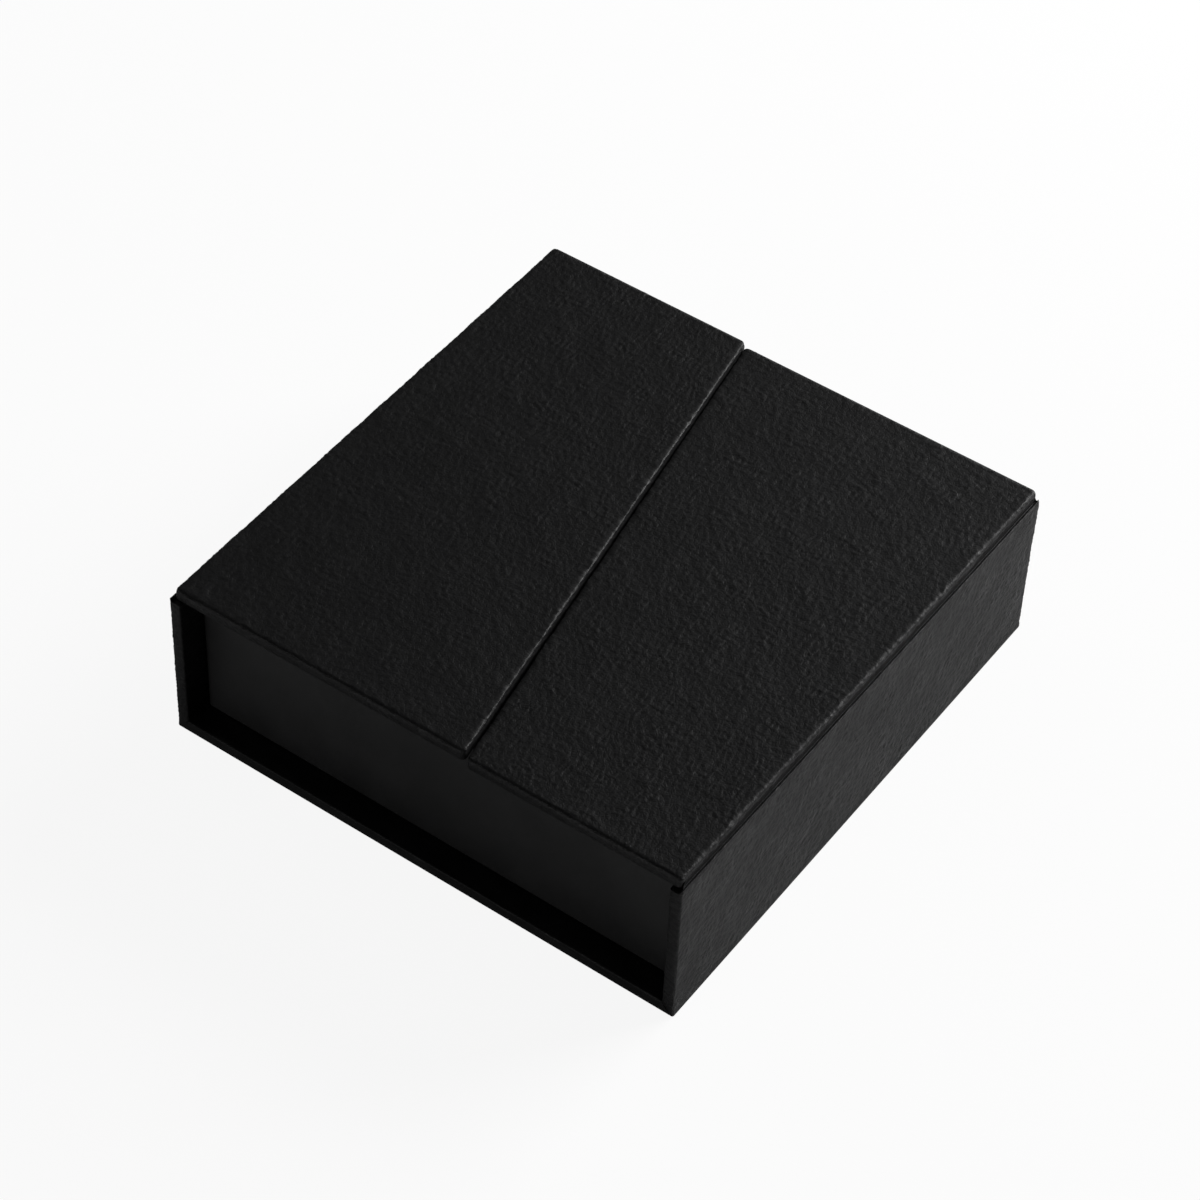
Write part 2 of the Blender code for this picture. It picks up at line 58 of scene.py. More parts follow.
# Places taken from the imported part, in metres
mm = 0.001
joints = {joint["name"]: joint for joint in frame["joints"]}
hinge = joints["right_door_hinge"]["pos_m"]  # x and height of the right hinge line; the left one mirrors it
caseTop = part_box("case_wrap")[1]
halfWidth, halfDepth = caseTop.x, caseTop.y
sideTop = caseTop.z - hinge[2]
hands = ("left", "right")


# Arithmetic shared by the surfaces

def ease(x):
    # 0 below 0, 1 above 1 and three x squared less two x cubed between them.
    x = np.clip(x, 0, 1)
    return x * x * (3 - 2 * x)


def softNoise(x, y, seed):
    # A random direction at each corner of a square grid gives a slope there;
    # the four slopes are blended with 6t^5 - 15t^4 + 10t^3. About -0.7 to 0.7.
    angle = np.random.default_rng(seed).random((128, 128)) * 2 * np.pi
    column, row = np.floor(x).astype(int), np.floor(y).astype(int)
    fx, fy = x - column, y - row

    def slope(dx, dy):
        a = angle[(column + dx) % 128, (row + dy) % 128]
        return np.cos(a) * (fx - dx) + np.sin(a) * (fy - dy)

    bx, by = (t ** 3 * (t * (6 * t - 15) + 10) for t in (fx, fy))
    near = slope(0, 0) * (1 - bx) + slope(1, 0) * bx
    far = slope(0, 1) * (1 - bx) + slope(1, 1) * bx
    return near * (1 - by) + far * by


def pebbles(x, y, seed):
    # One scattered point in each square of a grid; the value is the distance to the second
    # nearest point less the distance to the nearest: 0 in the creases between pebbles.
    spot = np.random.default_rng(seed).random((2, 128, 128))
    column, row = np.floor(x).astype(int), np.floor(y).astype(int)
    away = []
    for dx in (-1, 0, 1):
        for dy in (-1, 0, 1):
            cell = (column + dx) % 128, (row + dy) % 128
            away.append(np.hypot(column + dx + spot[0][cell] - x, row + dy + spot[1][cell] - y))
    near = np.partition(np.stack(away), 1, axis=0)
    return near[1] - near[0]


def arc(centre, radius, start, end, count):
    # Points on a circle from one angle to another, in degrees, the last one left out.
    angle = np.radians(start + (end - start) * np.arange(count) / count)
    return np.stack([centre[0] + radius * np.cos(angle), centre[1] + radius * np.sin(angle)], 1)


def line(start, end, count):
    # Points at even steps from start towards end, which is left out.
    share = np.arange(count)[:, None] / count
    return np.array(start, float) * (1 - share) + np.array(end, float) * share


# Meshes

def quadNumbers(rows, columns, closeRows=False, closeColumns=False):
    # Corner numbers of each cell of a grid that is stored row by row; a closed way joins last to first.
    r = np.arange(rows if closeRows else rows - 1)
    c = np.arange(columns if closeColumns else columns - 1)
    r, c = (part.ravel() for part in np.meshgrid(r, c, indexing="ij"))
    below, beside = (r + 1) % rows, (c + 1) % columns
    return np.stack([r * columns + c, r * columns + beside, below * columns + beside, below * columns + c], 1)


def makePiece(name, points, faces, material, sheet=None, marks=None):
    # points (n, 3); faces is a list of number arrays, one for each count of corners;
    # sheet (n, 2) is where each point lies on the flat material, kept as the piece's UV map.
    mesh = bpy.data.meshes.new(name)
    numbers = np.concatenate([part.ravel() for part in faces]).astype(np.int32)
    counts = np.concatenate([np.full(len(part), part.shape[1]) for part in faces])
    mesh.vertices.add(len(points))
    mesh.vertices.foreach_set("co", np.asarray(points, np.float32).ravel())
    mesh.loops.add(len(numbers))
    mesh.loops.foreach_set("vertex_index", numbers)
    mesh.polygons.add(len(counts))
    mesh.polygons.foreach_set("loop_start", np.concatenate([[0], np.cumsum(counts)[:-1]]).astype(np.int32))
    mesh.update(calc_edges=True)
    if sheet is not None:
        layer = mesh.uv_layers.new(name="sheet")
        layer.data.foreach_set("uv", np.asarray(sheet, np.float32)[numbers].ravel())
    for mark, values in (marks or {}).items():
        mesh.attributes.new(mark, "FLOAT", "POINT").data.foreach_set("value", np.asarray(values, np.float32))
    tidy = bmesh.new()
    tidy.from_mesh(mesh)
    bmesh.ops.remove_doubles(tidy, verts=tidy.verts, dist=2e-7)
    bmesh.ops.dissolve_degenerate(tidy, edges=tidy.edges, dist=1e-7)
    bmesh.ops.recalc_face_normals(tidy, faces=tidy.faces)
    tidy.to_mesh(mesh)
    tidy.free()
    mesh.shade_smooth()
    mesh.set_sharp_from_angle(angle=math.radians(50))
    mesh.materials.append(material)
    piece = bpy.data.objects.new(name, mesh)
    bpy.context.scene.collection.objects.link(piece)
    return piece


def dress(piece, body, nodes):
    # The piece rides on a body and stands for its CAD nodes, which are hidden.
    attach(piece, body)
    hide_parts(*nodes)
    return piece


# Node helpers

def addNode(tree, kind, links=None, values=None, **settings):
    # A node with its settings, its socket values and what feeds its sockets.
    node = tree.nodes.new(kind)
    for key, value in settings.items():
        setattr(node, key, value)
    for key, value in (values or {}).items():
        node.inputs[key].default_value = value
    for key, source in (links or {}).items():
        tree.links.new(source, node.inputs[key])
    return node


def maths(tree, operation, first, second=None, third=None):
    # A Math node on numbers or on other nodes' outputs.
    node = tree.nodes.new("ShaderNodeMath")
    node.operation = operation
    for place, value in enumerate((first, second, third)):
        if isinstance(value, (int, float)):
            node.inputs[place].default_value = value
        elif value is not None:
            tree.links.new(value, node.inputs[place])
    return node.outputs[0]


def newGroup(name, inputs, outputs):
    # An empty shader group with named sockets; returns its tree, its inputs and its output node.
    tree = bpy.data.node_groups.new(name, "ShaderNodeTree")
    kinds = {"value": "NodeSocketFloat", "vector": "NodeSocketVector", "colour": "NodeSocketColor"}
    for socket, kind, start in inputs:
        made = tree.interface.new_socket(name=socket, in_out="INPUT", socket_type=kinds[kind])
        if start is not None:
            made.default_value = start
    for socket, kind in outputs:
        tree.interface.new_socket(name=socket, in_out="OUTPUT", socket_type=kinds[kind])
    return tree, tree.nodes.new("NodeGroupInput").outputs, tree.nodes.new("NodeGroupOutput")


def placeGroup(tree, group, vector, **values):
    # One use of a shared group; names with spaces are written with underscores.
    node = tree.nodes.new("ShaderNodeGroup")
    node.node_tree = group
    tree.links.new(vector, node.inputs["Vector"])
    for key, value in values.items():
        node.inputs[key.replace("_", " ")].default_value = value
    return node.outputs


def startMaterial(name, **values):
    # A Principled material with its uniform values on the shader's own sockets.
    material = bpy.data.materials.new(name)
    material.use_nodes = True
    shader = material.node_tree.nodes["Principled BSDF"]
    for key, value in values.items():
        shader.inputs[key.replace("_", " ")].default_value = value
    return material, material.node_tree, shader


def ramp(tree, source, stops):
    # A colour ramp from (place, grey or colour) pairs.
    node = addNode(tree, "ShaderNodeValToRGB", {"Fac": source})
    while len(node.color_ramp.elements) < len(stops):
        node.color_ramp.elements.new(0.5)
    for element, (place, colour) in zip(node.color_ramp.elements, stops):
        element.position = place
        element.color = (*colour, 1)
    return node.outputs["Color"]


def bump(tree, height, distance, normal=None):
    # A Bump node whose height runs from 0 to 1 over a distance in metres.
    links = {"Height": height}
    if normal is not None:
        links["Normal"] = normal
    return addNode(tree, "ShaderNodeBump", links, {"Distance": distance, "Strength": 1.0}).outputs["Normal"]


def feed(tree, node, **sources):
    # Links outputs to a node's sockets; names with spaces are written with underscores.
    for key, source in sources.items():
        tree.links.new(source, node.inputs[key.replace("_", " ")])


def texture(tree, kind, vector, scale, output, values=None, **settings):
    # A texture on a vector; its scale is a number or another node's output.
    links, numbers = {"Vector": vector}, dict(values or {})
    (numbers if isinstance(scale, (int, float)) else links)["Scale"] = scale
    return addNode(tree, kind, links, numbers, **settings).outputs[output]


def noise(tree, vector, scale, detail=2.0, roughness=0.5, distortion=0.0, output="Fac", **settings):
    values = {"Detail": detail, "Roughness": roughness, "Distortion": distortion}
    return texture(tree, "ShaderNodeTexNoise", vector, scale, output, values, **settings)


def smoothStep(tree, value, low, high):
    return addNode(tree, "ShaderNodeMapRange", {"Value": value}, {"From Min": low, "From Max": high},
                   interpolation_type="SMOOTHSTEP").outputs["Result"]


def inMillimetres(tree, vector):
    scaled = addNode(tree, "ShaderNodeVectorMath", {0: vector}, {1: (1 / mm,) * 3}, operation="MULTIPLY")
    return scaled.outputs[0]


def perSize(tree, size):
    # A texture's scale for a size of its marks.
    return maths(tree, "DIVIDE", 1.0, size)


def blended(tree, first, share, second):
    # One value with another laid over it by a fixed share.
    under, over = maths(tree, "MULTIPLY", first, 1 - share), maths(tree, "MULTIPLY", second, share)
    return maths(tree, "ADD", under, over)


# Shared effects, worked out on millimetres

def makeGrainGroup():
    # What the relief is too coarse for: pores, small creases between them and a slow patchiness.
    tree, given, result = newGroup(
        "leatherGrain",
        [("Vector", "vector", None), ("Pore Size", "value", 0.30), ("Crease Size", "value", 0.62)],
        [("Height", "value"), ("Patch", "value")],
    )
    flat = inMillimetres(tree, given["Vector"])
    drift = noise(tree, flat, 0.9, output="Color", noise_dimensions="2D")
    bent = addNode(tree, "ShaderNodeVectorMath", {0: drift, 2: flat}, {1: (0.7, 0.7, 0.7)},
                   operation="MULTIPLY_ADD").outputs[0]
    cells = texture(tree, "ShaderNodeTexVoronoi", bent, perSize(tree, given["Crease Size"]), "Distance",
                    voronoi_dimensions="2D", feature="DISTANCE_TO_EDGE")
    pores = noise(tree, bent, perSize(tree, given["Pore Size"]), roughness=0.6, noise_dimensions="2D")
    feed(tree, result, Height=blended(tree, pores, 0.45, smoothStep(tree, cells, 0.0, 0.26)),
         Patch=noise(tree, flat, 0.075, noise_dimensions="2D"))
    return tree


def makeToothGroup():
    # Smooth covering paper: short crossed fibres and a slow mottling.
    tree, given, result = newGroup(
        "paperTooth", [("Vector", "vector", None), ("Fibre Size", "value", 0.35)],
        [("Height", "value"), ("Mottle", "value")],
    )
    flat, size = inMillimetres(tree, given["Vector"]), perSize(tree, given["Fibre Size"])
    fibres = []
    for turn in (0.3, 1.9):
        turned = addNode(tree, "ShaderNodeMapping", {"Vector": flat},
                         {"Rotation": (0, 0.2, turn), "Scale": (1.0, 0.22, 1.0)}).outputs[0]
        fibres.append(noise(tree, turned, size, 3.0, 0.6))
    feed(tree, result, Height=blended(tree, fibres[0], 0.5, fibres[1]), Mottle=noise(tree, flat, 0.11, 3.0))
    return tree


def makeNapGroup():
    # Velvet pile: tufts under half a millimetre, brushed patches and a few pressed strokes.
    tree, given, result = newGroup(
        "velvetNap",
        [("Vector", "vector", None), ("Tuft Size", "value", 0.28), ("Patch Size", "value", 16.0)],
        [("Height", "value"), ("Brushed", "value")],
    )
    flat = inMillimetres(tree, given["Vector"])
    tufts = noise(tree, flat, perSize(tree, given["Tuft Size"]), 4.0, 0.75)
    patches = noise(tree, flat, perSize(tree, given["Patch Size"]), 4.0, 0.55, 0.8)
    along = addNode(tree, "ShaderNodeMapping", {"Vector": flat},
                    {"Scale": (0.05, 0.5, 0.4), "Rotation": (0, 0, 0.25)}).outputs[0]
    feed(tree, result, Height=tufts, Brushed=blended(tree, patches, 0.3, noise(tree, along, 1.2)))
    return tree


def makeWearGroup():
    # Rubbed edges: the edge mark broken up by a noise.
    tree, given, result = newGroup(
        "edgeWear", [("Vector", "vector", None), ("Edge", "value", 0.0), ("Amount", "value", 0.5)],
        [("Wear", "value")],
    )
    broken = noise(tree, inMillimetres(tree, given["Vector"]), 0.55, 4.0, 0.65)
    kept = maths(tree, "MULTIPLY", smoothStep(tree, broken, 0.35, 0.70), given["Edge"])
    feed(tree, result, Wear=maths(tree, "MULTIPLY", kept, given["Amount"]))
    return tree


grainGroup, toothGroup = makeGrainGroup(), makeToothGroup()
napGroup, wearGroup = makeNapGroup(), makeWearGroup()


# Finishes

def mark(tree, name):
    # A value that makePiece stored on the piece's points.
    return addNode(tree, "ShaderNodeAttribute", attribute_name=name).outputs["Fac"]


def wornColour(tree, vector, base, worn):
    # The worn colour laid over the base colour where the wear group says so; returns the wear too.
    wear = placeGroup(tree, wearGroup, vector, Amount=0.5)["Wear"]
    feed(tree, wear.node, Edge=mark(tree, "edge"))
    mixed = addNode(tree, "ShaderNodeMix", {0: wear, 6: base}, {7: (*worn, 1)}, data_type="RGBA")
    return mixed.outputs[2], wear


def objectPlace(tree):
    return addNode(tree, "ShaderNodeTexCoord").outputs["Object"]


# Base colours: the raised one is a painted highlight on the ridges, the darker one painted shade in the
# creases.
leatherLook = {"raised": (0.0074, 0.0074, 0.0076), "creaseShade": (0.0024, 0.0024, 0.0026),
               "worn": (0.0095, 0.0095, 0.0100), "grainDepth": 0.035 * mm, "specular": 0.16, "rough": 0.40,
               "roughness": {"crease": 0.14, "patch": 0.08, "wear": -0.08}}


def makeLeather():
    # The embossed covering: painted shade darkens its low ground and a painted highlight lightens its ridges;
    # duller on its low ground than on its ridges, worn along the folds.
    look, more = leatherLook, leatherLook["roughness"]
    material, tree, shader = startMaterial("black_leatherette", IOR=1.5, Specular_IOR_Level=look["specular"])
    sheet = addNode(tree, "ShaderNodeUVMap", uv_map="sheet").outputs["UV"]
    grain, ground = placeGroup(tree, grainGroup, sheet), mark(tree, "crease")
    # The relief depth paints the colour: a painted highlight on the ridges, painted shade in the creases.
    base = ramp(tree, ground, [(0.1, look["raised"]), (0.8, look["creaseShade"])])
    colour, wear = wornColour(tree, sheet, base, look["worn"])
    dull = maths(tree, "MULTIPLY_ADD", ground, more["crease"], look["rough"])
    dull = maths(tree, "MULTIPLY_ADD", grain["Patch"], more["patch"], dull)
    feed(tree, shader, Base_Color=colour, Roughness=maths(tree, "MULTIPLY_ADD", wear, more["wear"], dull),
         Normal=bump(tree, grain["Height"], look["grainDepth"]))
    return material


paperLook = {"dark": (0.0075, 0.0075, 0.0078), "light": (0.0125, 0.0125, 0.0128),
             "worn": (0.025, 0.025, 0.026), "toothDepth": 0.018 * mm, "rough": (0.12, 0.46)}


def makePaper():
    # Smooth black covering paper: a fine tooth and a slow mottle in its sheen.
    look = paperLook
    material, tree, shader = startMaterial("black_paper", IOR=1.45, Specular_IOR_Level=0.38)
    place = objectPlace(tree)
    tooth = placeGroup(tree, toothGroup, place)
    base = ramp(tree, tooth["Mottle"], [(0.3, look["dark"]), (0.7, look["light"])])
    feed(tree, shader, Base_Color=wornColour(tree, place, base, look["worn"])[0],
         Roughness=maths(tree, "MULTIPLY_ADD", tooth["Mottle"], *look["rough"]),
         Normal=bump(tree, tooth["Height"], look["toothDepth"]))
    return material


velvetLook = {"dark": (0.0045, 0.0045, 0.005), "light": (0.0125, 0.0125, 0.0135), "rough": (0.2, 0.8),
              "pile": 0.10 * mm, "sheen": (0.42, 0.42, 0.45, 1)}


def makeVelvet():
    # Short black pile: matt, with a soft rim sheen and brushed patches.
    look = velvetLook
    material, tree, shader = startMaterial(
        "black_velvet", Specular_IOR_Level=0.08, Sheen_Weight=0.55, Sheen_Roughness=0.38,
        Sheen_Tint=look["sheen"],
    )
    nap = placeGroup(tree, napGroup, objectPlace(tree))
    feed(tree, shader, Base_Color=ramp(tree, nap["Brushed"], [(0.38, look["dark"]), (0.62, look["light"])]),
         Roughness=maths(tree, "MULTIPLY_ADD", nap["Height"], *look["rough"]),
         Normal=bump(tree, nap["Height"], look["pile"]))
    return material


def makeBoard(name, dark, light):
    # Grey pressed board or black card: flecks and short fibres.
    material, tree, shader = startMaterial(name, Specular_IOR_Level=0.2)
    place = objectPlace(tree)
    tooth = placeGroup(tree, toothGroup, place, Fibre_Size=0.6)
    flecks = noise(tree, place, 1400.0)
    mixed = blended(tree, tooth["Height"], 0.4, flecks)
    feed(tree, shader, Base_Color=ramp(tree, mixed, [(0.35, dark), (0.65, light)]),
         Roughness=maths(tree, "MULTIPLY_ADD", flecks, 0.15, 0.80),
         Normal=bump(tree, tooth["Height"], 0.04 * mm))
    return material


def makeFoam():
    # Open-cell foam: small round pits that touch, each darkened by painted shade.
    material, tree, shader = startMaterial("grey_foam", Specular_IOR_Level=0.1)
    pits = texture(tree, "ShaderNodeTexVoronoi", objectPlace(tree), 1700.0, "Distance", feature="SMOOTH_F1")
    # Painted shade: the colour darkens towards the bottom of each pit.
    feed(tree, shader, Base_Color=ramp(tree, pits, [(0.1, (0.05, 0.05, 0.054)), (0.7, (0.19, 0.19, 0.20))]),
         Roughness=maths(tree, "MULTIPLY_ADD", pits, 0.1, 0.88), Normal=bump(tree, pits, 0.2 * mm))
    return material


def makeMetal(name, colour, shine, rough):
    # Plated disc: a fine turned lay and cloudy plating.
    material, tree, shader = startMaterial(name, Metallic=1.0)
    place = objectPlace(tree)
    clouds, lay = noise(tree, place, 420.0, 4.0), noise(tree, place, 5200.0)
    feed(tree, shader, Base_Color=ramp(tree, clouds, [(0.3, [c * 0.88 for c in colour]), (0.7, colour)]),
         Roughness=maths(tree, "MULTIPLY_ADD", clouds, rough, shine), Normal=bump(tree, lay, 0.006 * mm))
    return material


leather, paper, velvet, foam = makeLeather(), makePaper(), makeVelvet(), makeFoam()
greyboard = makeBoard("greyboard", (0.20, 0.185, 0.165), (0.36, 0.34, 0.305))
card = makeBoard("black_card", (0.014, 0.014, 0.014), (0.028, 0.028, 0.028))
nickel = makeMetal("nickel_plate", (0.66, 0.63, 0.58), 0.16, 0.14)
zinc = makeMetal("zinc_plated_steel", (0.55, 0.56, 0.58), 0.26, 0.2)
print("finishes ready")


# Embossing of the one sheet that covers case and doors

embossing = {"depth": 0.16 * mm, "bends": ((0.9, 3.1, 11), (2.2, 12, 15)),
             "pebble": 1.15, "squat": 0.7, "edge": 0.42,
             "wrinkle": 0.95, "wrinkleLength": 3.8, "wrinkleWidth": 0.20, "wrinklePatch": 5,
             "streak": 1.5, "streakLength": 13.0, "streakTurn": 16.0, "streakWidth": 0.09, "streakPatch": 9,
             "swell": 10.0, "ground": 0.80, "shares": (0.36, 0.52, 0.45, 0.15)}


def embossed(sheet):
    # How deep each point of the sheet lies under its highest one, as a share from 0 to 1. Thin ridges stand
    # between pebbles on gently warped co-ordinates, along short wrinkles where a stretched noise crosses
    # its middle value, and along long streaks made the same way in a few patches; a slow swell is added.
    u, v = sheet[..., 0] / mm, sheet[..., 1] / mm
    e = embossing
    bentU, bentV = u, v
    for reach, length, seed in e["bends"]:
        bentU = bentU + reach * softNoise(u / length, v / length, seed)
        bentV = bentV + reach * softNoise(u / length, v / length, seed + 1)
    crease = 1 - ease(pebbles(bentU / e["pebble"], bentV / e["pebble"] * e["squat"], 13) / e["edge"])
    across = softNoise(bentU / e["wrinkle"], bentV / e["wrinkleLength"], 17)
    along = softNoise(bentU / e["wrinkleLength"], bentV / e["wrinkle"], 18)
    lines = 1 - np.minimum(np.abs(across), np.abs(along)) / e["wrinkleWidth"]
    wrinkle = ease(lines) * ease(0.5 + 1.6 * softNoise(u / e["wrinklePatch"], v / e["wrinklePatch"], 19))
    turn = math.radians(e["streakTurn"])
    beside, down = u * math.cos(turn) - v * math.sin(turn), u * math.sin(turn) + v * math.cos(turn)
    streaks = 1 - np.abs(softNoise(beside / e["streak"], down / e["streakLength"], 20)) / e["streakWidth"]
    streak = ease(streaks) * ease(2.4 * softNoise(u / e["streakPatch"], v / e["streakPatch"], 22) - 0.1)
    swell = ease(0.5 + 0.9 * softNoise(u / e["swell"], v / e["swell"], 14))
    onCrease, onWrinkle, onStreak, onSwell = e["shares"]
    raised = onCrease * crease + onWrinkle * wrinkle + onStreak * streak
    return np.clip(e["ground"] - raised + onSwell * swell, 0, 1)


# Case leather: one sheet down the left side, under the base and up the right side

caseCut = {"thick": 0.3 * mm, "panel": 2.4 * mm, "turnIn": 8 * mm, "edgeRadius": 0.4 * mm,
           "spacing": 0.32 * mm, "underSpacing": 2.5 * mm, "leastRadius": 0.02 * mm, "smoothTo": 0.4 * mm,
           "reliefRise": 1.5 * mm, "wornInside": 1.2 * mm, "wornTo": 0.8 * mm, "baseWear": 0.6}


def caseSection():
    # The sheet's closed section over a panel: flat inside, round each end, flat outside and the same
    # way back one thickness deeper. Rows are (along the depth, depth below the outer face, sheet length).
    cut = caseCut
    deep, radius, end, inner = cut["panel"], cut["edgeRadius"], halfDepth, halfDepth - cut["turnIn"]
    count = round(2 * (end - radius) / cut["spacing"])
    half = [line((inner, deep), (end - radius, deep), 6),
            arc((end - radius, deep - radius), radius, 90, 0, 5),
            line((end, deep - radius), (end, radius), 4), arc((end - radius, radius), radius, 0, -90, 6)]
    front = np.concatenate(half) * (-1, 1)
    back = (np.concatenate(half) * (1, 1))[::-1]
    outside = line((radius - end, 0), (end - radius, 0), count)
    outer = np.concatenate([front, outside, [[end - radius, 0]], back])
    run = np.concatenate([[0], np.cumsum(np.hypot(*np.diff(outer, axis=0).T))])
    thick = cut["thick"]
    near = end - thick
    back = [[inner, deep - thick], [near, deep - thick], [near, thick], [end - cut["turnIn"] / 2, thick]]
    under = np.concatenate([back, (np.array(back) * (-1, 1))[::-1]])
    length = np.concatenate([run - run[-1] / 2, under[:, 0]])
    return np.concatenate([outer, under]), length, len(outer)


def caseLeather():
    cut = caseCut
    section, length, outerCount = caseSection()
    along, depth = section[:, 0][None], section[:, 1][None]
    corner = np.maximum(depth, cut["edgeRadius"])
    radius = np.maximum(cut["edgeRadius"] - depth, cut["leastRadius"])
    top, low = caseTop.z, cut["edgeRadius"]

    # Even stations down the side.
    height = np.linspace(top, low, round((top - low) / cut["spacing"]) + 1)[:, None]
    share = (height - low) / (top - low)
    up = corner + share * (top - corner)
    sideX, sideZ = depth - halfWidth + 0 * up, up + 0 * depth

    # Round the bottom edge, then half way under the base.
    turn = np.radians(np.linspace(180, 270, 7))[1:, None]
    centreX = corner - halfWidth
    bendX, bendZ = centreX + radius * np.cos(turn), corner + radius * np.sin(turn)
    share = np.linspace(0, 1, round(halfWidth / cut["underSpacing"]) + 1)[1:, None]
    baseX, baseZ = centreX * (1 - share), depth + 0 * share
    x, z = np.concatenate([sideX, bendX, baseX]), np.concatenate([sideZ, bendZ, baseZ])
    x, z = np.concatenate([x, -x[-2::-1]]), np.concatenate([z, z[-2::-1]])
    points = np.stack([x, np.broadcast_to(along, x.shape), z], -1)

    # The outer face's own length across gives the sheet's co-ordinate.
    outline = points[:, outerCount // 2, ::2]
    run = np.concatenate([[0], np.cumsum(np.hypot(*np.diff(outline, axis=0).T))])
    sheet = np.stack(np.broadcast_arrays((run - run[-1] / 2)[:, None], length[None]), -1)
    rows, columns = x.shape
    outer = points[:, :outerCount]
    down, across = np.gradient(outer, axis=0), np.gradient(outer, axis=1)
    normal = np.cross(down, across)
    normal /= np.linalg.norm(normal, axis=2, keepdims=True) + 1e-12
    standing = ease((outer[..., 2] - cut["smoothTo"]) / cut["reliefRise"])
    sign = np.sign((normal[2:4, outerCount // 2, 0]).mean()) * -1
    relief = embossed(sheet[:, :outerCount])
    points[:, :outerCount] -= sign * normal * (embossing["depth"] * relief * standing)[..., None]

    grid = quadNumbers(rows, columns, closeColumns=True)
    caps = np.stack([np.arange(columns)[::-1], (rows - 1) * columns + np.arange(columns)])
    edge = np.zeros((rows, columns))
    inFrom = section[:outerCount, 1]
    atEnds = edgeMark(outer[..., 1], halfDepth, cut["edgeRadius"]) * (inFrom < cut["panel"] / 2)
    atBase = (outer[..., 2] < cut["wornTo"]) * cut["baseWear"] * (inFrom < cut["thick"] / 3)
    edge[:, :outerCount] = np.maximum(atEnds, atBase)
    crease = np.zeros((rows, columns))
    crease[:, :outerCount] = relief
    marks = {"edge": edge.ravel(), "crease": crease.ravel()}
    piece = makePiece("case_leather", points.reshape(-1, 3), [grid, caps], leather, sheet.reshape(-1, 2),
                      marks)
    return dress(piece, "case", ["case_wrap"])


def edgeMark(place, end, radius):
    # 1 over a rounded edge at +-end, falling to 0 a little way inside it.
    inside = caseCut["wornInside"]
    return ease((np.abs(place) - (end - radius - inside)) / inside)


caseLeather()
print("case leather done")


# Plates with a rounded rim, walked round ring by ring: the doors' leather and their liners

def ringRound(corners, reach, steps, counts):
    # Once round a convex outline, with edge i moved outwards by reach[i]. Outwards, each corner opens
    # into a fan of steps; inwards, the fan closes on the point where the two moved edges cross.
    ahead = np.roll(corners, -1, 0) - corners
    ahead = ahead / np.linalg.norm(ahead, axis=1, keepdims=True)
    outwards = np.stack([ahead[:, 1], -ahead[:, 0]], 1)
    before, reachBefore = np.roll(outwards, 1, 0), np.roll(reach, 1)
    fans, ways = [], []
    for k in range(4):
        sides = before[k] @ corners[k] + reachBefore[k], outwards[k] @ corners[k] + reach[k]
        crossing = np.linalg.solve([before[k], outwards[k]], sides)
        start, end = math.atan2(before[k][1], before[k][0]), math.atan2(outwards[k][1], outwards[k][0])
        turn = start + ((end - start) % (2 * math.pi)) * np.linspace(0, 1, steps + 1)
        way = np.stack([np.cos(turn), np.sin(turn)], 1)
        far = np.linspace(reachBefore[k], reach[k], steps + 1)[:, None]
        fans.append(corners[k] + way * far if reach[k] > 0 else np.repeat(crossing[None], steps + 1, 0))
        ways.append(way)
    points, normals = [], []
    for k in range(4):
        follow = (k + 1) % 4
        share = (np.arange(1, counts[k]) / counts[k])[:, None]
        points += [fans[k], fans[k][-1] * (1 - share) + fans[follow][0] * share]
        normals += [ways[k], np.repeat(outwards[k][None], counts[k] - 1, 0)]
    return np.concatenate(points), np.concatenate(normals)


def plate(corners, spacing, profile, steps=6):
    # A face on a grid between four corners, then rings for the profile's rows
    # (reach outwards for each edge, height, turn of the surface in degrees, sheet length), closed by
    # the last ring.
    sides = np.linalg.norm(np.roll(corners, -1, 0) - corners, axis=1)
    across, along = (max(1, round(max(sides[i], sides[i + 2]) / spacing)) for i in (0, 1))
    shares = np.meshgrid(np.linspace(0, 1, across + 1), np.linspace(0, 1, along + 1), indexing="ij")
    s, t = (part[..., None] for part in shares)
    face = (corners[0] * (1 - s) + corners[1] * s) * (1 - t) + (corners[3] * (1 - s) + corners[2] * s) * t
    face = face.reshape(-1, 2)
    flat = np.column_stack([face, np.full(len(face), profile[0][1])])
    points, sheet, row = [flat], [face], [np.zeros(len(face))]
    normals = [np.tile((0.0, 0.0, 1.0), (len(face), 1))]
    counts = (across, along, across, along)
    start, _ = ringRound(corners, [0.0] * 4, steps, counts)
    for number, (reach, height, turn, run) in enumerate(profile):
        ring, way = ringRound(corners, np.array(reach, float), steps, counts)
        angle = math.radians(turn)
        points.append(np.column_stack([ring, np.full(len(ring), height)]))
        normals.append(np.column_stack([way * math.sin(angle), np.full(len(ring), math.cos(angle))]))
        sheet.append(start + way * run)
        row.append(np.full(len(ring), number))
    size = len(start)
    first = len(face)
    grid = quadNumbers(across + 1, along + 1)
    rings = quadNumbers(len(profile), size, closeColumns=True) + first
    cap = (first + (len(profile) - 1) * size + np.arange(size))[None]
    return [np.concatenate(part) for part in (points, normals, sheet, row)] + [[grid, rings, cap]]


def inWorld(hand, points, lifted=True):
    # From the hinge frame (inwards, along the depth, up) to the world. The left door rests a little
    # above level and the right one a little below it.
    x, y, z = points.T
    lift = math.radians(doorCut["lift"][hand]) if lifted else 0
    x, z = x * math.cos(lift) - z * math.sin(lift), x * math.sin(lift) + z * math.cos(lift)
    if hand == "left":
        return np.column_stack([x - hinge[0], y, z + hinge[2]])
    return np.column_stack([hinge[0] - x, -y, z + hinge[2]])


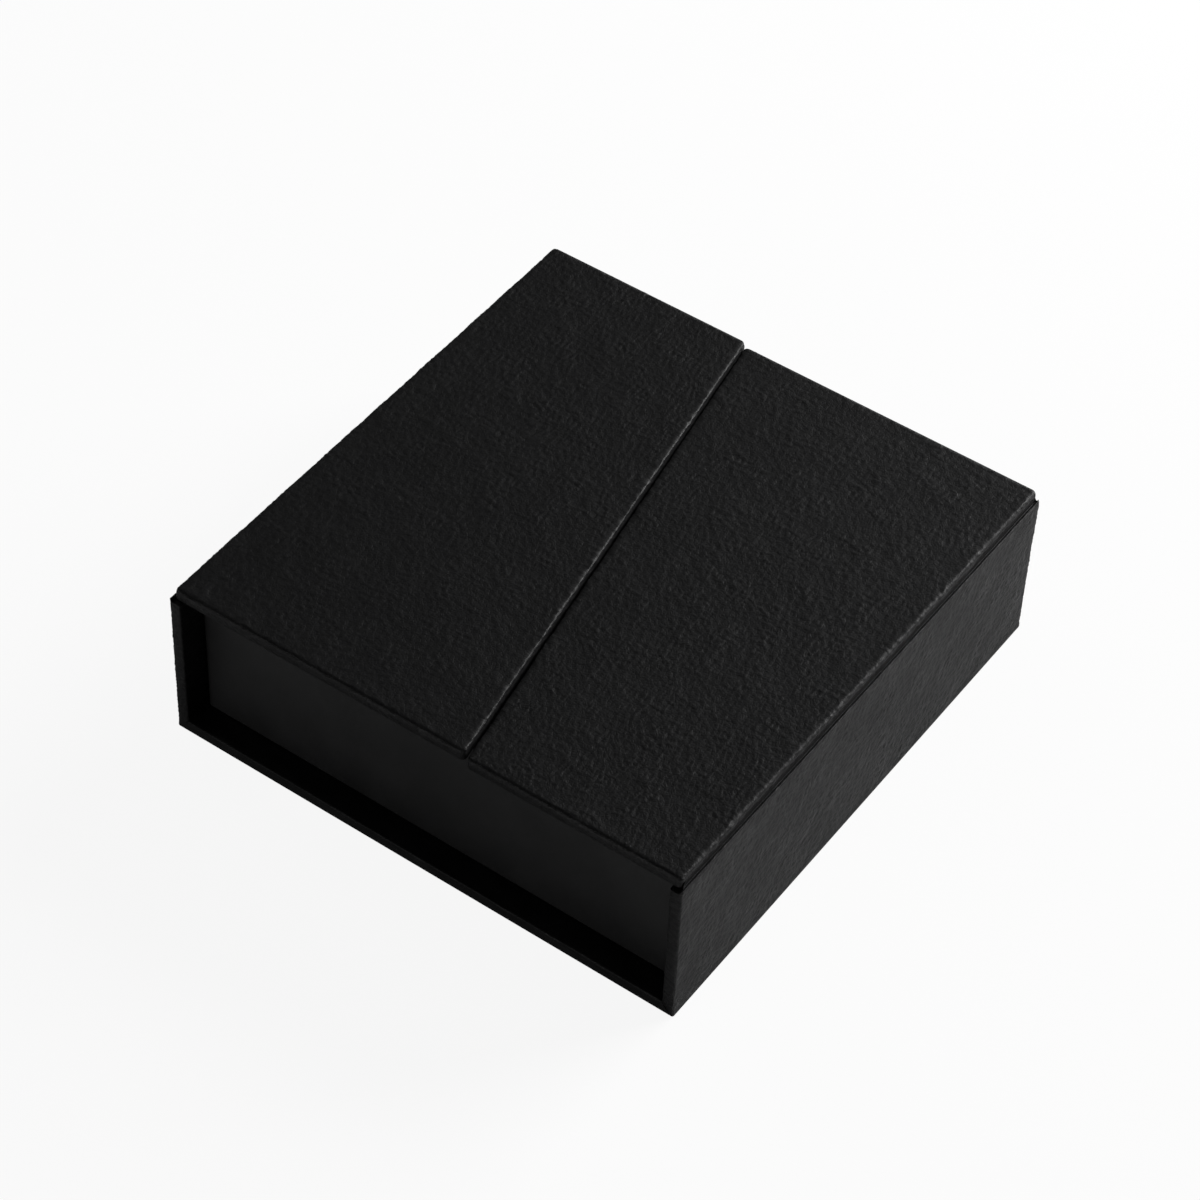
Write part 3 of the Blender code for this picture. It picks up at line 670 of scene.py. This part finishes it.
doorCut = {"under": 0.15 * mm, "over": 2.55 * mm, "thick": 0.3 * mm, "spacing": 0.31 * mm,
           "slant": 17.8 * mm, "lip": 0.6 * mm, "border": 4 * mm, "hingeBorder": 1.1 * mm,
           "setback": {"front": 0.6 * mm, "back": 0.05 * mm}, "gap": {"front": 0.36 * mm, "back": 0.03 * mm},
           "lift": {"left": 0.6, "right": -0.6}, "edgeRadius": 0.95 * mm, "freeRadius": 0.42 * mm,
           "hingeRadius": 0.72 * mm, "footRadius": 0.6 * mm, "freeFoot": 0.12 * mm,
           "groove": 0.35 * mm, "grooveTop": 1.5 * mm, "grooveFull": 0.9 * mm, "grooveFrom": 0.4 * mm,
           "grooveRun": 0.5 * mm, "sideRelief": 0.6, "rimWear": 0.6, "sheetFrom": 3 * mm}


def doorEnds(hand):
    # Where the door starts and stops along the depth, and the share of the split's gap there.
    cut = doorCut
    ends = ("front", "back") if hand == "left" else ("back", "front")
    reach = [halfDepth - cut["setback"][end] for end in ends]
    return -reach[0], reach[1], [cut["gap"][end] / 2 for end in ends]


def doorCorners(hand, inset=0.0, hingeSide=None):
    # Near hinge, near free, far free and far hinge corner in the hinge frame, moved in by inset.
    cut = doorCut
    lean = cut["slant"] / (2 * halfDepth)
    near, far, gaps = doorEnds(hand)
    across = cut["lip"] + inset if hingeSide is None else hingeSide
    free = [halfWidth - (gap + inset) * math.hypot(1, lean) for gap in gaps]
    near, far = near + inset, far - inset
    nearFree, farFree = (free[0] - lean * near, near), (free[1] - lean * far, far)
    return np.array([(across, near), nearFree, farFree, (across, far)])


def grooved(z):
    # How far inwards the door's hinge edge lies at a height: at the lip above, in the groove below.
    cut = doorCut
    return cut["lip"] + cut["groove"] * ease((cut["grooveTop"] - z) / (cut["grooveTop"] - cut["grooveFull"]))


def doorLeather(hand):
    # Top, rounded rim, edge, foot and border underneath, then back inside one thickness.
    # Along the hinge the edge is pressed in to a groove, deepest from its middle down.
    cut = doorCut
    r, foot, top, low, thick = cut["edgeRadius"], cut["footRadius"], cut["over"], cut["under"], cut["thick"]
    profile = [([0] * 4, top, 0, 0)]
    for turn in np.linspace(0, 90, 10)[1:]:
        a = math.radians(turn)
        down = r - r * math.cos(a)
        reach = [r - own + math.sqrt(max(own ** 2 - max(own - down, 0) ** 2, 0))
                 for own in (r, cut["freeRadius"], r, cut["hingeRadius"])]
        profile.append((reach, top - down, turn, r * a))
    rimEnd, run, straight = len(profile) - 1, r * math.pi / 2, top - r - low - foot
    for share in (0.12, 0.22, 0.32, 0.42, 0.52, 0.62, 0.8, 1.0):
        profile.append(([r] * 4, (top - r) * (1 - share) + (low + foot) * share, 90, run + share * straight))
    sideEnd, run = len(profile) - 1, profile[-1][3]
    for turn in np.linspace(90, 180, 5)[1:]:
        a = math.radians(turn - 90)
        reach = [r - own * (1 - math.cos(a)) for own in (foot, cut["freeFoot"], foot, foot)]
        profile.append((reach, low + foot - foot * math.sin(a), turn, run + foot * a))
    run, footEnd = profile[-1][3], profile[-1][0]
    ends = [r - cut["border"]] * 3 + [r - cut["hingeBorder"]]
    for share in (0.25, 0.5, 0.75, 1.0):
        reach = [start * (1 - share) + end * share for start, end in zip(footEnd, ends)]
        profile.append((reach, low, 180, run + share * cut["border"]))
    outerRows, inside = len(profile), [r - thick] * 4
    for reach, height in ((ends, low + thick), (inside, low + thick), (inside, top - thick)):
        profile.append((reach, height, 0, run))

    corners = doorCorners(hand, r)
    points, normals, sheet, row, faces = plate(corners, cut["spacing"], profile)
    flatter = np.where(row > sideEnd, 0.0, np.where(row > rimEnd, cut["sideRelief"], 1.0))
    side = 1 if hand == "right" else -1
    across = halfWidth + caseTop.z + cut["sheetFrom"] + sheet[:, 0]
    onSheet = np.column_stack([side * across, side * sheet[:, 1]])
    relief = embossed(onSheet)
    points = points - normals * (embossing["depth"] * relief * flatter)[:, None]

    # Groove: squeeze what lies between the lip and the border's end towards the border.
    x, y, z = points.T
    near, far, _ = doorEnds(hand)
    full = ease((np.minimum(y - near, far - y) - cut["grooveFrom"]) / cut["grooveRun"])
    pressed = cut["lip"] + (grooved(z) - cut["lip"]) * full
    borderEnd = cut["lip"] + cut["hingeBorder"]
    squeezed = pressed + (x - cut["lip"]) * (borderEnd - pressed) / (borderEnd - cut["lip"])
    points[:, 0] = np.where(x < borderEnd, squeezed, x)
    edge = np.where((row >= 1) & (row <= rimEnd + 1), 1.0, 0.0) * np.where(row == 1, cut["rimWear"], 1.0)
    name = f"{hand}_door_leather"
    marks = {"edge": edge, "crease": relief * (row < outerRows)}
    piece = makePiece(name, inWorld(hand, points), faces, leather, onSheet, marks)
    return dress(piece, f"{hand}_door", [f"{hand}_door_wrap"])


linerCut = {"overlap": 0.5 * mm, "thick": 0.16 * mm, "proud": 0.05 * mm, "hinge": 1.75 * mm,
            "spacing": 0.7 * mm, "printRise": 0.03 * mm, "printRadius": 3.2 * mm,
            "printEdge": (0.5 * mm, 0.9 * mm), "printShare": 0.6, "wave": 0.018 * mm, "waveLength": 13 * mm}


def slabProfile(r, top, thick, run):
    # A flat top, its edges rounded by r, straight sides and a flat underside.
    return [([0] * 4, top, 0, 0), ([r * 0.7] * 4, top - r * 0.3, 45, r * 0.8),
            ([r] * 4, top - r, 90, r * 1.6), ([r] * 4, top - thick, 180, run)]


def doorLiner(hand):
    # A sheet of paper under the door, over the edge of the leather's border; each magnet
    # under it prints through as a low round step.
    cut = linerCut
    border = doorCut["border"] - cut["overlap"]
    corners = doorCorners(hand, border + cut["thick"], cut["hinge"])
    r, face = cut["thick"] / 2, cut["proud"] - doorCut["under"]
    points, _, sheet, row, faces = plate(corners, cut["spacing"], slabProfile(r, face, cut["thick"], r * 2.6))
    rise, (beyond, fall) = np.zeros(len(points)), cut["printEdge"]
    for end in ("front", "back"):
        low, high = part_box(f"{hand}_door_magnet_{end}")
        middle = (low + high) / 2
        x, y = (middle.x + hinge[0], middle.y) if hand == "left" else (hinge[0] - middle.x, -middle.y)
        away = np.hypot(points[:, 0] - x, points[:, 1] - y)
        rise += cut["printRise"] * ease((cut["printRadius"] + beyond - away) / fall)
    slow = cut["wave"] * softNoise(points[:, 0] / cut["waveLength"], points[:, 1] / cut["waveLength"], 21)
    points[:, 2] += (rise * cut["printShare"] + slow) * (row == 0)
    points[:, 2] *= -1
    edge = np.where(row >= 1, 1.0, 0.0)
    piece = makePiece(f"{hand}_door_paper", inWorld(hand, points), faces, paper, sheet, {"edge": edge})
    return dress(piece, f"{hand}_door", [f"{hand}_door_liner"])


# Hinge: the leather that rolls over the side's top, dips and goes up the door's edge,
# and the paper folded inside it

hingeCut = {"thick": 0.2 * mm, "ledge": 0.28 * mm, "ledgeHeight": 0.14 * mm,
            "valley": 0.10 * mm, "lean": 25.0, "to": (0.604, 1.42), "spacing": 0.32 * mm,
            "start": (0.36, 0.40), "end": (0.84, 0.95),
            "relief": 0.09 * mm, "reliefLost": 0.6, "smoothFrom": 0.4 * mm, "smoothRun": 0.3 * mm,
            "clearance": 0.012 * mm, "thinFrom": 0.85 * mm, "thinnest": 0.008 * mm, "rise": 0.06 * mm,
            "closeFrom": 0.4 * mm, "closeRun": 0.45 * mm, "riseFrom": 0.40 * mm, "riseRun": 0.14 * mm,
            "closed": (0.50 * mm, 0.26 * mm)}
hingePaperCut = {"thick": 0.07, "low": -0.13, "high": 0.04, "foldOut": 1.0, "foldIn": 2.35,
                 "bends": (-0.05, 0.03), "short": 1.4 * mm, "spacing": 1.0 * mm}


def carriedStrip(name, path, behind, half, spacing, hand, material, shape=None):
    # A strip: its path across the hinge, given as (inwards, up), and the path behind it, carried along the
    # depth.
    loop = np.concatenate([path, behind[::-1]])
    along = np.linspace(-half, half, round(2 * half / spacing) + 1)
    points = np.empty((len(along), len(loop), 3))
    points[..., 0], points[..., 1], points[..., 2] = loop[None, :, 0], along[:, None], loop[None, :, 1]
    run = np.concatenate([[0], np.cumsum(np.hypot(*np.diff(path, axis=0).T))])
    lengths = np.concatenate([run, run[::-1]])
    side = 1 if hand == "right" else -1
    across = side * (halfWidth + caseTop.z + lengths)
    sheet = np.stack(np.broadcast_arrays(across[None], side * along[:, None]), -1)
    relief = np.zeros(points.shape[:2])
    if shape is not None:
        points, relief = shape(points, sheet, len(path))
    rows, columns = points.shape[:2]
    grid = quadNumbers(rows, columns, closeColumns=True)
    caps = np.stack([np.arange(columns)[::-1], (rows - 1) * columns + np.arange(columns)])
    marks = {"edge": np.zeros(rows * columns), "crease": relief.ravel()}
    piece = makePiece(name, inWorld(hand, points.reshape(-1, 3), lifted=False), [grid, caps], material,
                      sheet.reshape(-1, 2), marks)
    if hand == "left":
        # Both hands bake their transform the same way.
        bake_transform(piece)
    else:
        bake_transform(piece)
    return piece


def outwardsOf(path):
    # Unit normals on the left of the way, for a path of (inwards, up) points.
    ahead = np.gradient(path, axis=0)
    ahead /= np.linalg.norm(ahead, axis=1, keepdims=True)
    return np.stack([-ahead[:, 1], ahead[:, 0]], 1)


def hingeLeather(hand):
    # Up the side, round the ledge, round the valley and up the door, where the sheet thins out
    # on the door's grooved edge.
    cut = hingeCut
    ledge, valley = cut["ledge"], cut["valley"]
    lean = math.radians(cut["lean"])
    ledgeAt = np.array([ledge, cut["ledgeHeight"]])
    valleyAt = ledgeAt + (ledge + valley) * np.array([math.cos(lean), math.sin(lean)])
    turned = arc(valleyAt, valley, 180 + cut["lean"], 372, 8)
    path = np.concatenate([
        line((0, sideTop), (0, cut["ledgeHeight"]), 2),
        arc(ledgeAt, ledge, 180, cut["lean"], 9),
        turned,
        line(turned[-1] + (0.0, cut["rise"]), np.array(cut["to"]) * mm, 9),
        [np.array(cut["to"]) * mm],
    ])
    out = outwardsOf(path)
    room = grooved(path[:, 1]) - path[:, 0] - cut["clearance"]
    thick = np.where(path[:, 1] > cut["thinFrom"], np.clip(room, cut["thinnest"], cut["thick"]), cut["thick"])
    behind = path - out * thick[:, None]

    def shape(points, sheet, count):
        relief = embossed(sheet)
        relief[:, count:] = 0
        fade = 1 - cut["reliefLost"] * ease((points[..., 0] - cut["smoothFrom"]) / cut["smoothRun"])
        normal = np.concatenate([out, np.zeros_like(out)])
        points[..., 0] -= normal[:, 0] * relief * fade * cut["relief"]
        points[..., 2] -= normal[:, 1] * relief * fade * cut["relief"]
        # Past the door's end the valley and the rise close down on the ledge, and the ledge's end is round.
        near, far, _ = doorEnds(hand)
        fromEnd = np.minimum(points[..., 1] - near, far - points[..., 1])
        closing = 1 - ease((fromEnd - cut["closeFrom"]) / cut["closeRun"])
        onRise = closing * ease((points[..., 0] - cut["riseFrom"]) / cut["riseRun"])
        inwards, height = cut["closed"]
        points[..., 0] += (inwards - points[..., 0]) * onRise
        points[..., 2] += (height - points[..., 2]) * onRise * (points[..., 2] > height)
        radius = caseCut["edgeRadius"]
        q = np.clip((np.abs(points[..., 1]) - (halfDepth - radius)) / radius, 0, 1)
        least = radius * (1 - np.sqrt(np.clip(1 - q * q, 0, 1)))
        points[..., 0] = np.maximum(points[..., 0], np.minimum(least, inwards))
        return points, relief

    piece = carriedStrip(f"{hand}_hinge_leather", path, behind, halfDepth, cut["spacing"], hand, leather,
                         shape)
    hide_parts(f"{hand}_hinge_crease")


def hingePaper(hand):
    # Two legs and a half-round fold between them: one leg on the side's top, one under the door.
    cut = hingePaperCut
    low, high = cut["low"], cut["high"] + cut["thick"]
    middle, radius = (low + high) / 2, (high - low) / 2
    outside = np.concatenate([
        line((cut["foldIn"], low), (cut["foldOut"] + radius, low), 6),
        arc((cut["foldOut"] + radius, middle), radius, 270, 90, 24),
        line((cut["foldOut"] + radius, high), (cut["foldIn"], high), 6),
        [[cut["foldIn"], high]],
    ])
    centre = np.array([cut["foldOut"] + radius, middle])
    out = outside - np.column_stack([np.maximum(outside[:, 0], centre[0]), np.full(len(outside), centre[1])])
    out /= np.linalg.norm(out, axis=1, keepdims=True)
    behind = outside - out * cut["thick"]
    piece = carriedStrip(f"{hand}_hinge_paper", outside * mm, behind * mm, halfDepth - cut["short"],
                         cut["spacing"], hand, paper)
    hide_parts(f"{hand}_hinge_lining")


# A wall's top: the sheet folded over it, and the lining's leg that hangs down its inner face
wallCut = {"round": 0.06 * mm, "spacing": 0.3 * mm, "sheetFrom": 9 * mm,
           "fold": {"from": 0.32 * mm, "to": 2.08 * mm, "below": 0, "thick": 0.28 * mm, "short": 0.32 * mm},
           "leg": {"from": 1.86 * mm, "to": 2.06 * mm, "below": 0.3 * mm, "thick": 5 * mm, "short": 1.4 * mm}}


def wallStrip(hand, kind, material):
    # A thin slab along the wall.
    cut, r = wallCut[kind], wallCut["round"]
    far = halfDepth - cut["short"] - r
    near, beyond = cut["from"] + r, cut["to"] - r
    corners = np.array([(near, -far), (beyond, -far), (beyond, far), (near, far)])
    profile = slabProfile(r, sideTop - cut["below"], cut["thick"], cut["thick"])
    points, _, sheet, _, faces = plate(corners, wallCut["spacing"], profile)
    marks = {"edge": np.zeros(len(points)), "crease": np.zeros(len(points))}
    points = inWorld(hand, points, lifted=False)
    return makePiece(f"{hand}_wall_{kind}", points, faces, material, sheet + wallCut["sheetFrom"], marks)


def wallTop(hand):
    dress(wallStrip(hand, "fold", leather), "case", ["case_wrap"])
    dress(wallStrip(hand, "leg", paper), "case", [f"{hand}_hinge_lining"])


for hand in hands:
    doorLeather(hand)
    doorLiner(hand)
    hingeLeather(hand)
    hingePaper(hand)
    wallTop(hand)
print("doors and hinges done")


# Frames carried round a rectangle: the tray's paper and the insert's velvet border

def carriedFrame(name, high, profile, cut, material, steps=6, extra=None):
    # A closed profile of (inside the outline, height) rows, carried once round the rectangle.
    runs = np.cumsum(np.concatenate([[0], np.hypot(*np.diff(profile, axis=0).T)]))
    halves = np.array([high.x, high.y]) - cut["corner"]
    corners = np.array([(-1, -1), (1, -1), (1, 1), (-1, 1)]) * halves
    counts = [round(2 * half / cut["spacing"]) for half in (*halves, *halves)]
    points, sheet = [], []
    for (inside, height), run in zip(profile, runs):
        ring, way = ringRound(corners, np.full(4, cut["corner"] - inside), steps, counts)
        points.append(np.column_stack([ring, np.full(len(ring), height)]))
        sheet.append(ring - way * run)
    rows, columns = len(profile), len(points[0])
    points = np.concatenate(points)
    if extra is not None:
        points = extra(points)
    return makePiece(name, points, [quadNumbers(rows, columns, True, True)], material, np.concatenate(sheet),
                     {"edge": np.repeat(edgeOf(profile), columns)})


def edgeOf(profile):
    # 1 where the profile bends outwards over a rim, else 0.
    rows = np.array(profile)
    ahead, behind = np.roll(rows, -1, 0) - rows, rows - np.roll(rows, 1, 0)
    turn = np.abs(ahead[:, 0] * behind[:, 1] - ahead[:, 1] * behind[:, 0])
    size = np.hypot(*ahead.T) * np.hypot(*behind.T) + 1e-15
    return np.clip(turn / size * 3, 0, 1)


trayLow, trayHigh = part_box("tray_wrap")
trayCut = {"wall": 2.4 * mm, "thick": 0.3 * mm, "rim": 0.45 * mm, "foot": 0.4 * mm, "corner": 0.7 * mm,
           "turnUnder": 10 * mm, "turnDown": 14 * mm, "spacing": 4 * mm}


def trayPaper():
    # Under the tray, up its outer wall, over the rounded rim, down inside, and back one thickness deeper.
    cut = trayCut
    low, top = trayLow.z, trayHigh.z
    wall, rim, foot, thick = (cut[key] for key in ("wall", "rim", "foot", "thick"))
    under, bottom = cut["turnUnder"], trayHigh.z - cut["turnDown"]
    outer = np.concatenate([
        line((under, low), (foot, low), 5), arc((foot, low + foot), foot, 270, 180, 6),
        line((0, low + foot), (0, top - rim), 12), arc((rim, top - rim), rim, 180, 90, 7),
        line((rim, top), (wall - rim, top), 3), arc((wall - rim, top - rim), rim, 90, 0, 7),
        line((wall, top - rim), (wall, bottom), 8), [[wall, bottom]],
    ])
    inner = [(wall - thick, bottom), (wall - thick, top - thick), (thick, top - thick), (thick, low + thick),
             (under, low + thick)]
    profile = np.concatenate([outer, inner])
    piece = carriedFrame("tray_paper", trayHigh, profile, cut, paper, steps=8)
    return dress(piece, "case", ["tray_wrap"])


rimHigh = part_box("rim_velvet")[1]
rimCut = {"border": 10 * mm, "edge": 1.1 * mm, "thick": 0.4 * mm, "drop": 13 * mm, "corner": 0.6 * mm,
          "spacing": 1.2 * mm, "uneven": 0.06 * mm, "unevenLength": 8 * mm}


def rimCloth():
    # Velvet laid flat on the border board, rolled over its inner edge and turned down into the well.
    cut = rimCut
    top, border, edge, thick = rimHigh.z, cut["border"], cut["edge"], cut["thick"]
    bottom = top - cut["drop"]
    outer = np.concatenate([
        line((0, top), (border - edge, top), 10), arc((border - edge, top - edge), edge, 90, 0, 8),
        line((border, top - edge), (border, bottom), 9), [[border, bottom]],
    ])
    inner = [(border - thick, bottom), (border - thick, top - thick), (0, top - thick)]

    def settle(points):
        # Slight unevenness of the pile, downwards only.
        x, y = points[:, 0] / cut["unevenLength"], points[:, 1] / cut["unevenLength"]
        uneven = cut["uneven"] * np.clip(0.5 + softNoise(x, y, 31), 0, 1)
        points[:, 2] -= uneven * (points[:, 2] > top - edge)
        return points

    piece = carriedFrame("rim_cloth", rimHigh, np.concatenate([outer, inner]), cut, velvet, extra=settle)
    dress(piece, "case", ["rim_velvet"])
    return piece


# Pad: foam under velvet, with a slot that grips a ring

padLow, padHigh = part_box("pad_velvet")
padCut = {"edgeTop": -1.0 * mm, "corner": 2.5 * mm, "leastCorner": 0.3 * mm, "shoulder": 2.4 * mm,
          "shoulderShare": 0.075, "slotLength": 26 * mm, "slotWidth": 1.7 * mm, "slotRound": 0.98,
          "lip": 1.5 * mm, "lipShare": 0.075, "neck": 1.5 * mm, "tuck": 8.5 * mm, "thick": 0.4 * mm,
          "coreGap": 0.3 * mm,
          "sag": 0.35 * mm, "sagReach": 5.5, "pleat": 0.035 * mm, "pleats": 9, "pleatFrom": 2.2,
          "pleatReach": 2.6, "slack": 0.10 * mm, "slackLength": 9, "pressed": 0.05 * mm}


def roundedOutline(halfX, halfY, radius, perCorner, perSide):
    # A rectangle with round corners, as (n, 2), with the same count of points whatever its size.
    corners = np.array([(1, 1), (-1, 1), (-1, -1), (1, -1)]) * (halfX - radius, halfY - radius)
    curves = [arc(corner, radius, 90 * k, 90 * k + 90, perCorner) for k, corner in enumerate(corners)]
    ends = [corner + radius * np.array([math.cos(a), math.sin(a)]) for corner, a in
            zip(corners, np.radians([90, 180, 270, 360]))]
    rows = []
    for k in range(4):
        rows += [curves[k], line(ends[k], curves[(k + 1) % 4][0], perSide)]
    return np.concatenate(rows)


def padSkin(depth, foot):
    # Rings that blend the pad's outline into the slot's outline: foot, round shoulder, crown that
    # rises with a quarter sine and dips where the slot draws it in, round lip, and the tuck.
    cut = padCut
    corner = max(cut["corner"] - depth, cut["leastCorner"])
    outer = roundedOutline(padHigh.x - depth, padHigh.y - depth, corner, 12, 22)
    half = cut["slotWidth"] / 2 + depth
    slot = roundedOutline(cut["slotLength"] / 2 + depth, half, half * cut["slotRound"], 12, 22)
    top, edge = padHigh.z - depth, padHigh.z + cut["edgeTop"] - depth
    wall = edge - cut["shoulder"] - foot
    shares, heights = [0, 0, 0], [foot, foot + 0.4 * wall, foot + 0.8 * wall]
    turn = np.radians(np.linspace(0, 90, 9))
    shares += list(cut["shoulderShare"] * (1 - np.cos(turn)))
    heights += list(edge - cut["shoulder"] * (1 - np.sin(turn)))
    flat = 1 - cut["shoulderShare"] - cut["lipShare"]
    run = np.linspace(0, 1, 40)[1:]
    shares += list(cut["shoulderShare"] + flat * run)
    heights += list(edge + (top - edge) * np.sin(np.pi / 2 * run))
    turn = np.radians(np.linspace(0, 90, 9))[1:]
    shares += list(1 - cut["lipShare"] * (1 - np.sin(turn)))
    heights += list(top - cut["lip"] * (1 - np.cos(turn)))
    deep = padHigh.z - cut["tuck"]
    shares += [1, 1, 1]
    heights += [top - cut["lip"] - cut["neck"], (top + deep) / 2 - cut["lip"], deep]
    share, height = np.array(shares)[:, None], np.array(heights)[:, None]
    points = np.empty((len(shares), len(outer), 3))
    points[..., :2] = outer[None] * (1 - share[..., None]) + slot[None] * share[..., None]
    points[..., 2] = height
    x, y = points[..., 0] / mm, points[..., 1] / mm

    # The velvet is drawn towards the slot: a shallow trough along it, and fine pleats off its two ends.
    ends = cut["slotLength"] / 2 / mm
    beyond = np.hypot(np.maximum(np.abs(x) - ends, 0), y)
    onCrown = ease((share - cut["shoulderShare"]) / 0.1) * ease((1 - share) / 0.08)
    sag = cut["sag"] * np.exp(-(beyond / cut["sagReach"]) ** 2)
    bearing = np.arctan2(y, np.abs(x) - ends + 1.5)
    fading = np.exp(-((beyond - cut["pleatFrom"]) / cut["pleatReach"]) ** 2) * (np.abs(x) > ends - 2)
    pleats = cut["pleat"] * np.cos(bearing * cut["pleats"] + 1.3 * np.sign(x)) * fading
    slack = cut["slack"] * softNoise(x / cut["slackLength"], y / cut["slackLength"], 41)
    drawn = sag + pleats + cut["pressed"] + np.clip(slack, -cut["pressed"], cut["slack"])
    points[..., 2] -= onCrown * drawn
    return points


def padPieces():
    skin, under = padSkin(0, padLow.z), padSkin(padCut["thick"], padLow.z)
    loops = np.concatenate([skin, under[::-1]])
    rows, columns = loops.shape[:2]
    cloth = makePiece("pad_cloth", loops.reshape(-1, 3), [quadNumbers(rows, columns, True, True)], velvet,
                      loops[..., :2].reshape(-1, 2), {"edge": np.zeros(rows * columns)})
    dress(cloth, "case", ["pad_velvet"])
    core = padSkin(padCut["thick"] + padCut["coreGap"], padLow.z)
    rows, columns = core.shape[:2]
    block = makePiece("pad_core", core.reshape(-1, 3), [quadNumbers(rows, columns, True, True)], foam)
    dress(block, "case", ["pad_foam"])


trayPaper()
rimCloth()
padPieces()
print("tray, border and pad done")


# Boards, magnets and keepers keep their own solids and get their finish

for name, node in frame["nodes"].items():
    if node.hide_render:
        continue
    kind = {"board": greyboard, "platform": card, "magnet": nickel, "keeper": zinc}
    chosen = next(material for word, material in kind.items() if word in name)
    node.data.materials.clear()
    node.data.materials.append(chosen)
    node.data.shade_smooth()
    node.data.set_sharp_from_angle(angle=math.radians(35))


# Studio: pale floor in dim surroundings, a low soft key light behind the box, a weak light from the
# left, a low fill in front, and a faint panel behind that the top reflects

studio = {"floorSize": 6.0, "floorColour": (0.90, 0.90, 0.90), "cameraWhite": 0.91, "glossyWhite": 0.02,
          "world": 0.02,
          "lamps": {"key": ((0.36, 0.87, 0.39), 0.7, 20.0), "left": ((-0.70, 0.06, 0.52), 0.4, 0.5),
                    "fill": ((-0.15, -0.90, 0.10), 0.5, 2.4), "panel": ((-0.16, 0.36, 0.22), 0.30, 0.06)}}


def makeFloor():
    # One broad quad; the camera sees it lifted to white, the object's shadow kept.
    size = studio["floorSize"] / 2
    mesh = bpy.data.meshes.new("floor")
    corners = [(-size, -size, 0), (size, -size, 0), (size, size, 0), (-size, size, 0)]
    mesh.from_pydata(corners, [], [(0, 1, 2, 3)])
    floor = bpy.data.objects.new("floor", mesh)
    bpy.context.scene.collection.objects.link(floor)
    material, tree, shader = startMaterial("floor_white", Roughness=0.9, Specular_IOR_Level=0.0)
    shader.inputs["Base Color"].default_value = (*studio["floorColour"], 1)
    output = tree.nodes["Material Output"]
    glow = addNode(tree, "ShaderNodeEmission", values={"Color": (1, 1, 1, 1), "Strength": 1.0}).outputs[0]
    path = addNode(tree, "ShaderNodeLightPath").outputs
    seen = maths(tree, "MULTIPLY", path["Is Camera Ray"], studio["cameraWhite"])
    mirrored = maths(tree, "MULTIPLY", path["Is Glossy Ray"], studio["glossyWhite"])
    passed = maths(tree, "MULTIPLY", path["Is Transmission Ray"], studio["cameraWhite"])
    share = maths(tree, "MINIMUM", maths(tree, "ADD", maths(tree, "ADD", seen, mirrored), passed), 1.0)
    mixed = addNode(tree, "ShaderNodeMixShader", {0: share, 1: shader.outputs[0], 2: glow}).outputs[0]
    tree.links.new(mixed, output.inputs["Surface"])
    mesh.materials.append(material)


def makeWorld():
    # Plain soft surroundings, white where the camera looks past the floor.
    world = bpy.data.worlds.new("studio")
    bpy.context.scene.world = world
    world.use_nodes = True
    tree = world.node_tree
    soft = tree.nodes["Background"]
    soft.inputs["Color"].default_value = (1, 1, 1, 1)
    soft.inputs["Strength"].default_value = studio["world"]
    white = addNode(tree, "ShaderNodeBackground", values={"Color": (1, 1, 1, 1), "Strength": 1.0})
    path = addNode(tree, "ShaderNodeLightPath").outputs
    share = maths(tree, "MAXIMUM", path["Is Camera Ray"], path["Is Transmission Ray"])
    mixed = addNode(tree, "ShaderNodeMixShader", {0: share, 1: soft.outputs[0], 2: white.outputs[0]})
    tree.links.new(mixed.outputs[0], tree.nodes["World Output"].inputs["Surface"])


def makeLamp(name, place, size, power):
    # A square soft light that faces the box.
    data = bpy.data.lights.new(name, "AREA")
    data.shape, data.size, data.energy = "SQUARE", size, power
    lamp = bpy.data.objects.new(name, data)
    bpy.context.scene.collection.objects.link(lamp)
    lamp.location = place
    aim = -lamp.location.normalized()
    lamp.rotation_euler = aim.to_track_quat("-Z", "Y").to_euler()


lens = {"azimuth": -33.685, "elevation": 47.046, "roll": 2.647, "distance": 0.62768,
        "right": -1.5025 * mm, "up": 1.4224 * mm, "middle": 16.5 * mm, "length": 113.94, "sensor": 36.0}


def makeCamera():
    # The photograph's view: azimuth, elevation and roll about the box's middle, then a small slide.
    a, e, r = (math.radians(lens[key]) for key in ("azimuth", "elevation", "roll"))
    ahead = np.array([math.sin(a) * math.cos(e), math.cos(a) * math.cos(e), -math.sin(e)])
    level = np.cross(ahead, (0, 0, 1))
    level /= np.linalg.norm(level)
    upright = np.cross(level, ahead)
    right = math.cos(r) * level + math.sin(r) * upright
    up = math.cos(r) * upright - math.sin(r) * level
    slide = right * lens["right"] + up * lens["up"]
    place = np.array([0, 0, lens["middle"]]) - ahead * lens["distance"] + slide
    data = bpy.data.cameras.new("camera")
    data.lens, data.sensor_width, data.sensor_fit = lens["length"], lens["sensor"], "HORIZONTAL"
    camera = bpy.data.objects.new("camera", data)
    bpy.context.scene.collection.objects.link(camera)
    matrix = np.eye(4)
    matrix[:3, 0], matrix[:3, 1], matrix[:3, 2], matrix[:3, 3] = right, up, -ahead, place
    camera.matrix_world = Matrix(matrix.tolist())
    bpy.context.scene.camera = camera


makeFloor()
makeWorld()
for name, (place, size, power) in studio["lamps"].items():
    makeLamp(name, place, size, power)
makeCamera()
bpy.context.scene.view_settings.view_transform = "Standard"
print("studio ready")
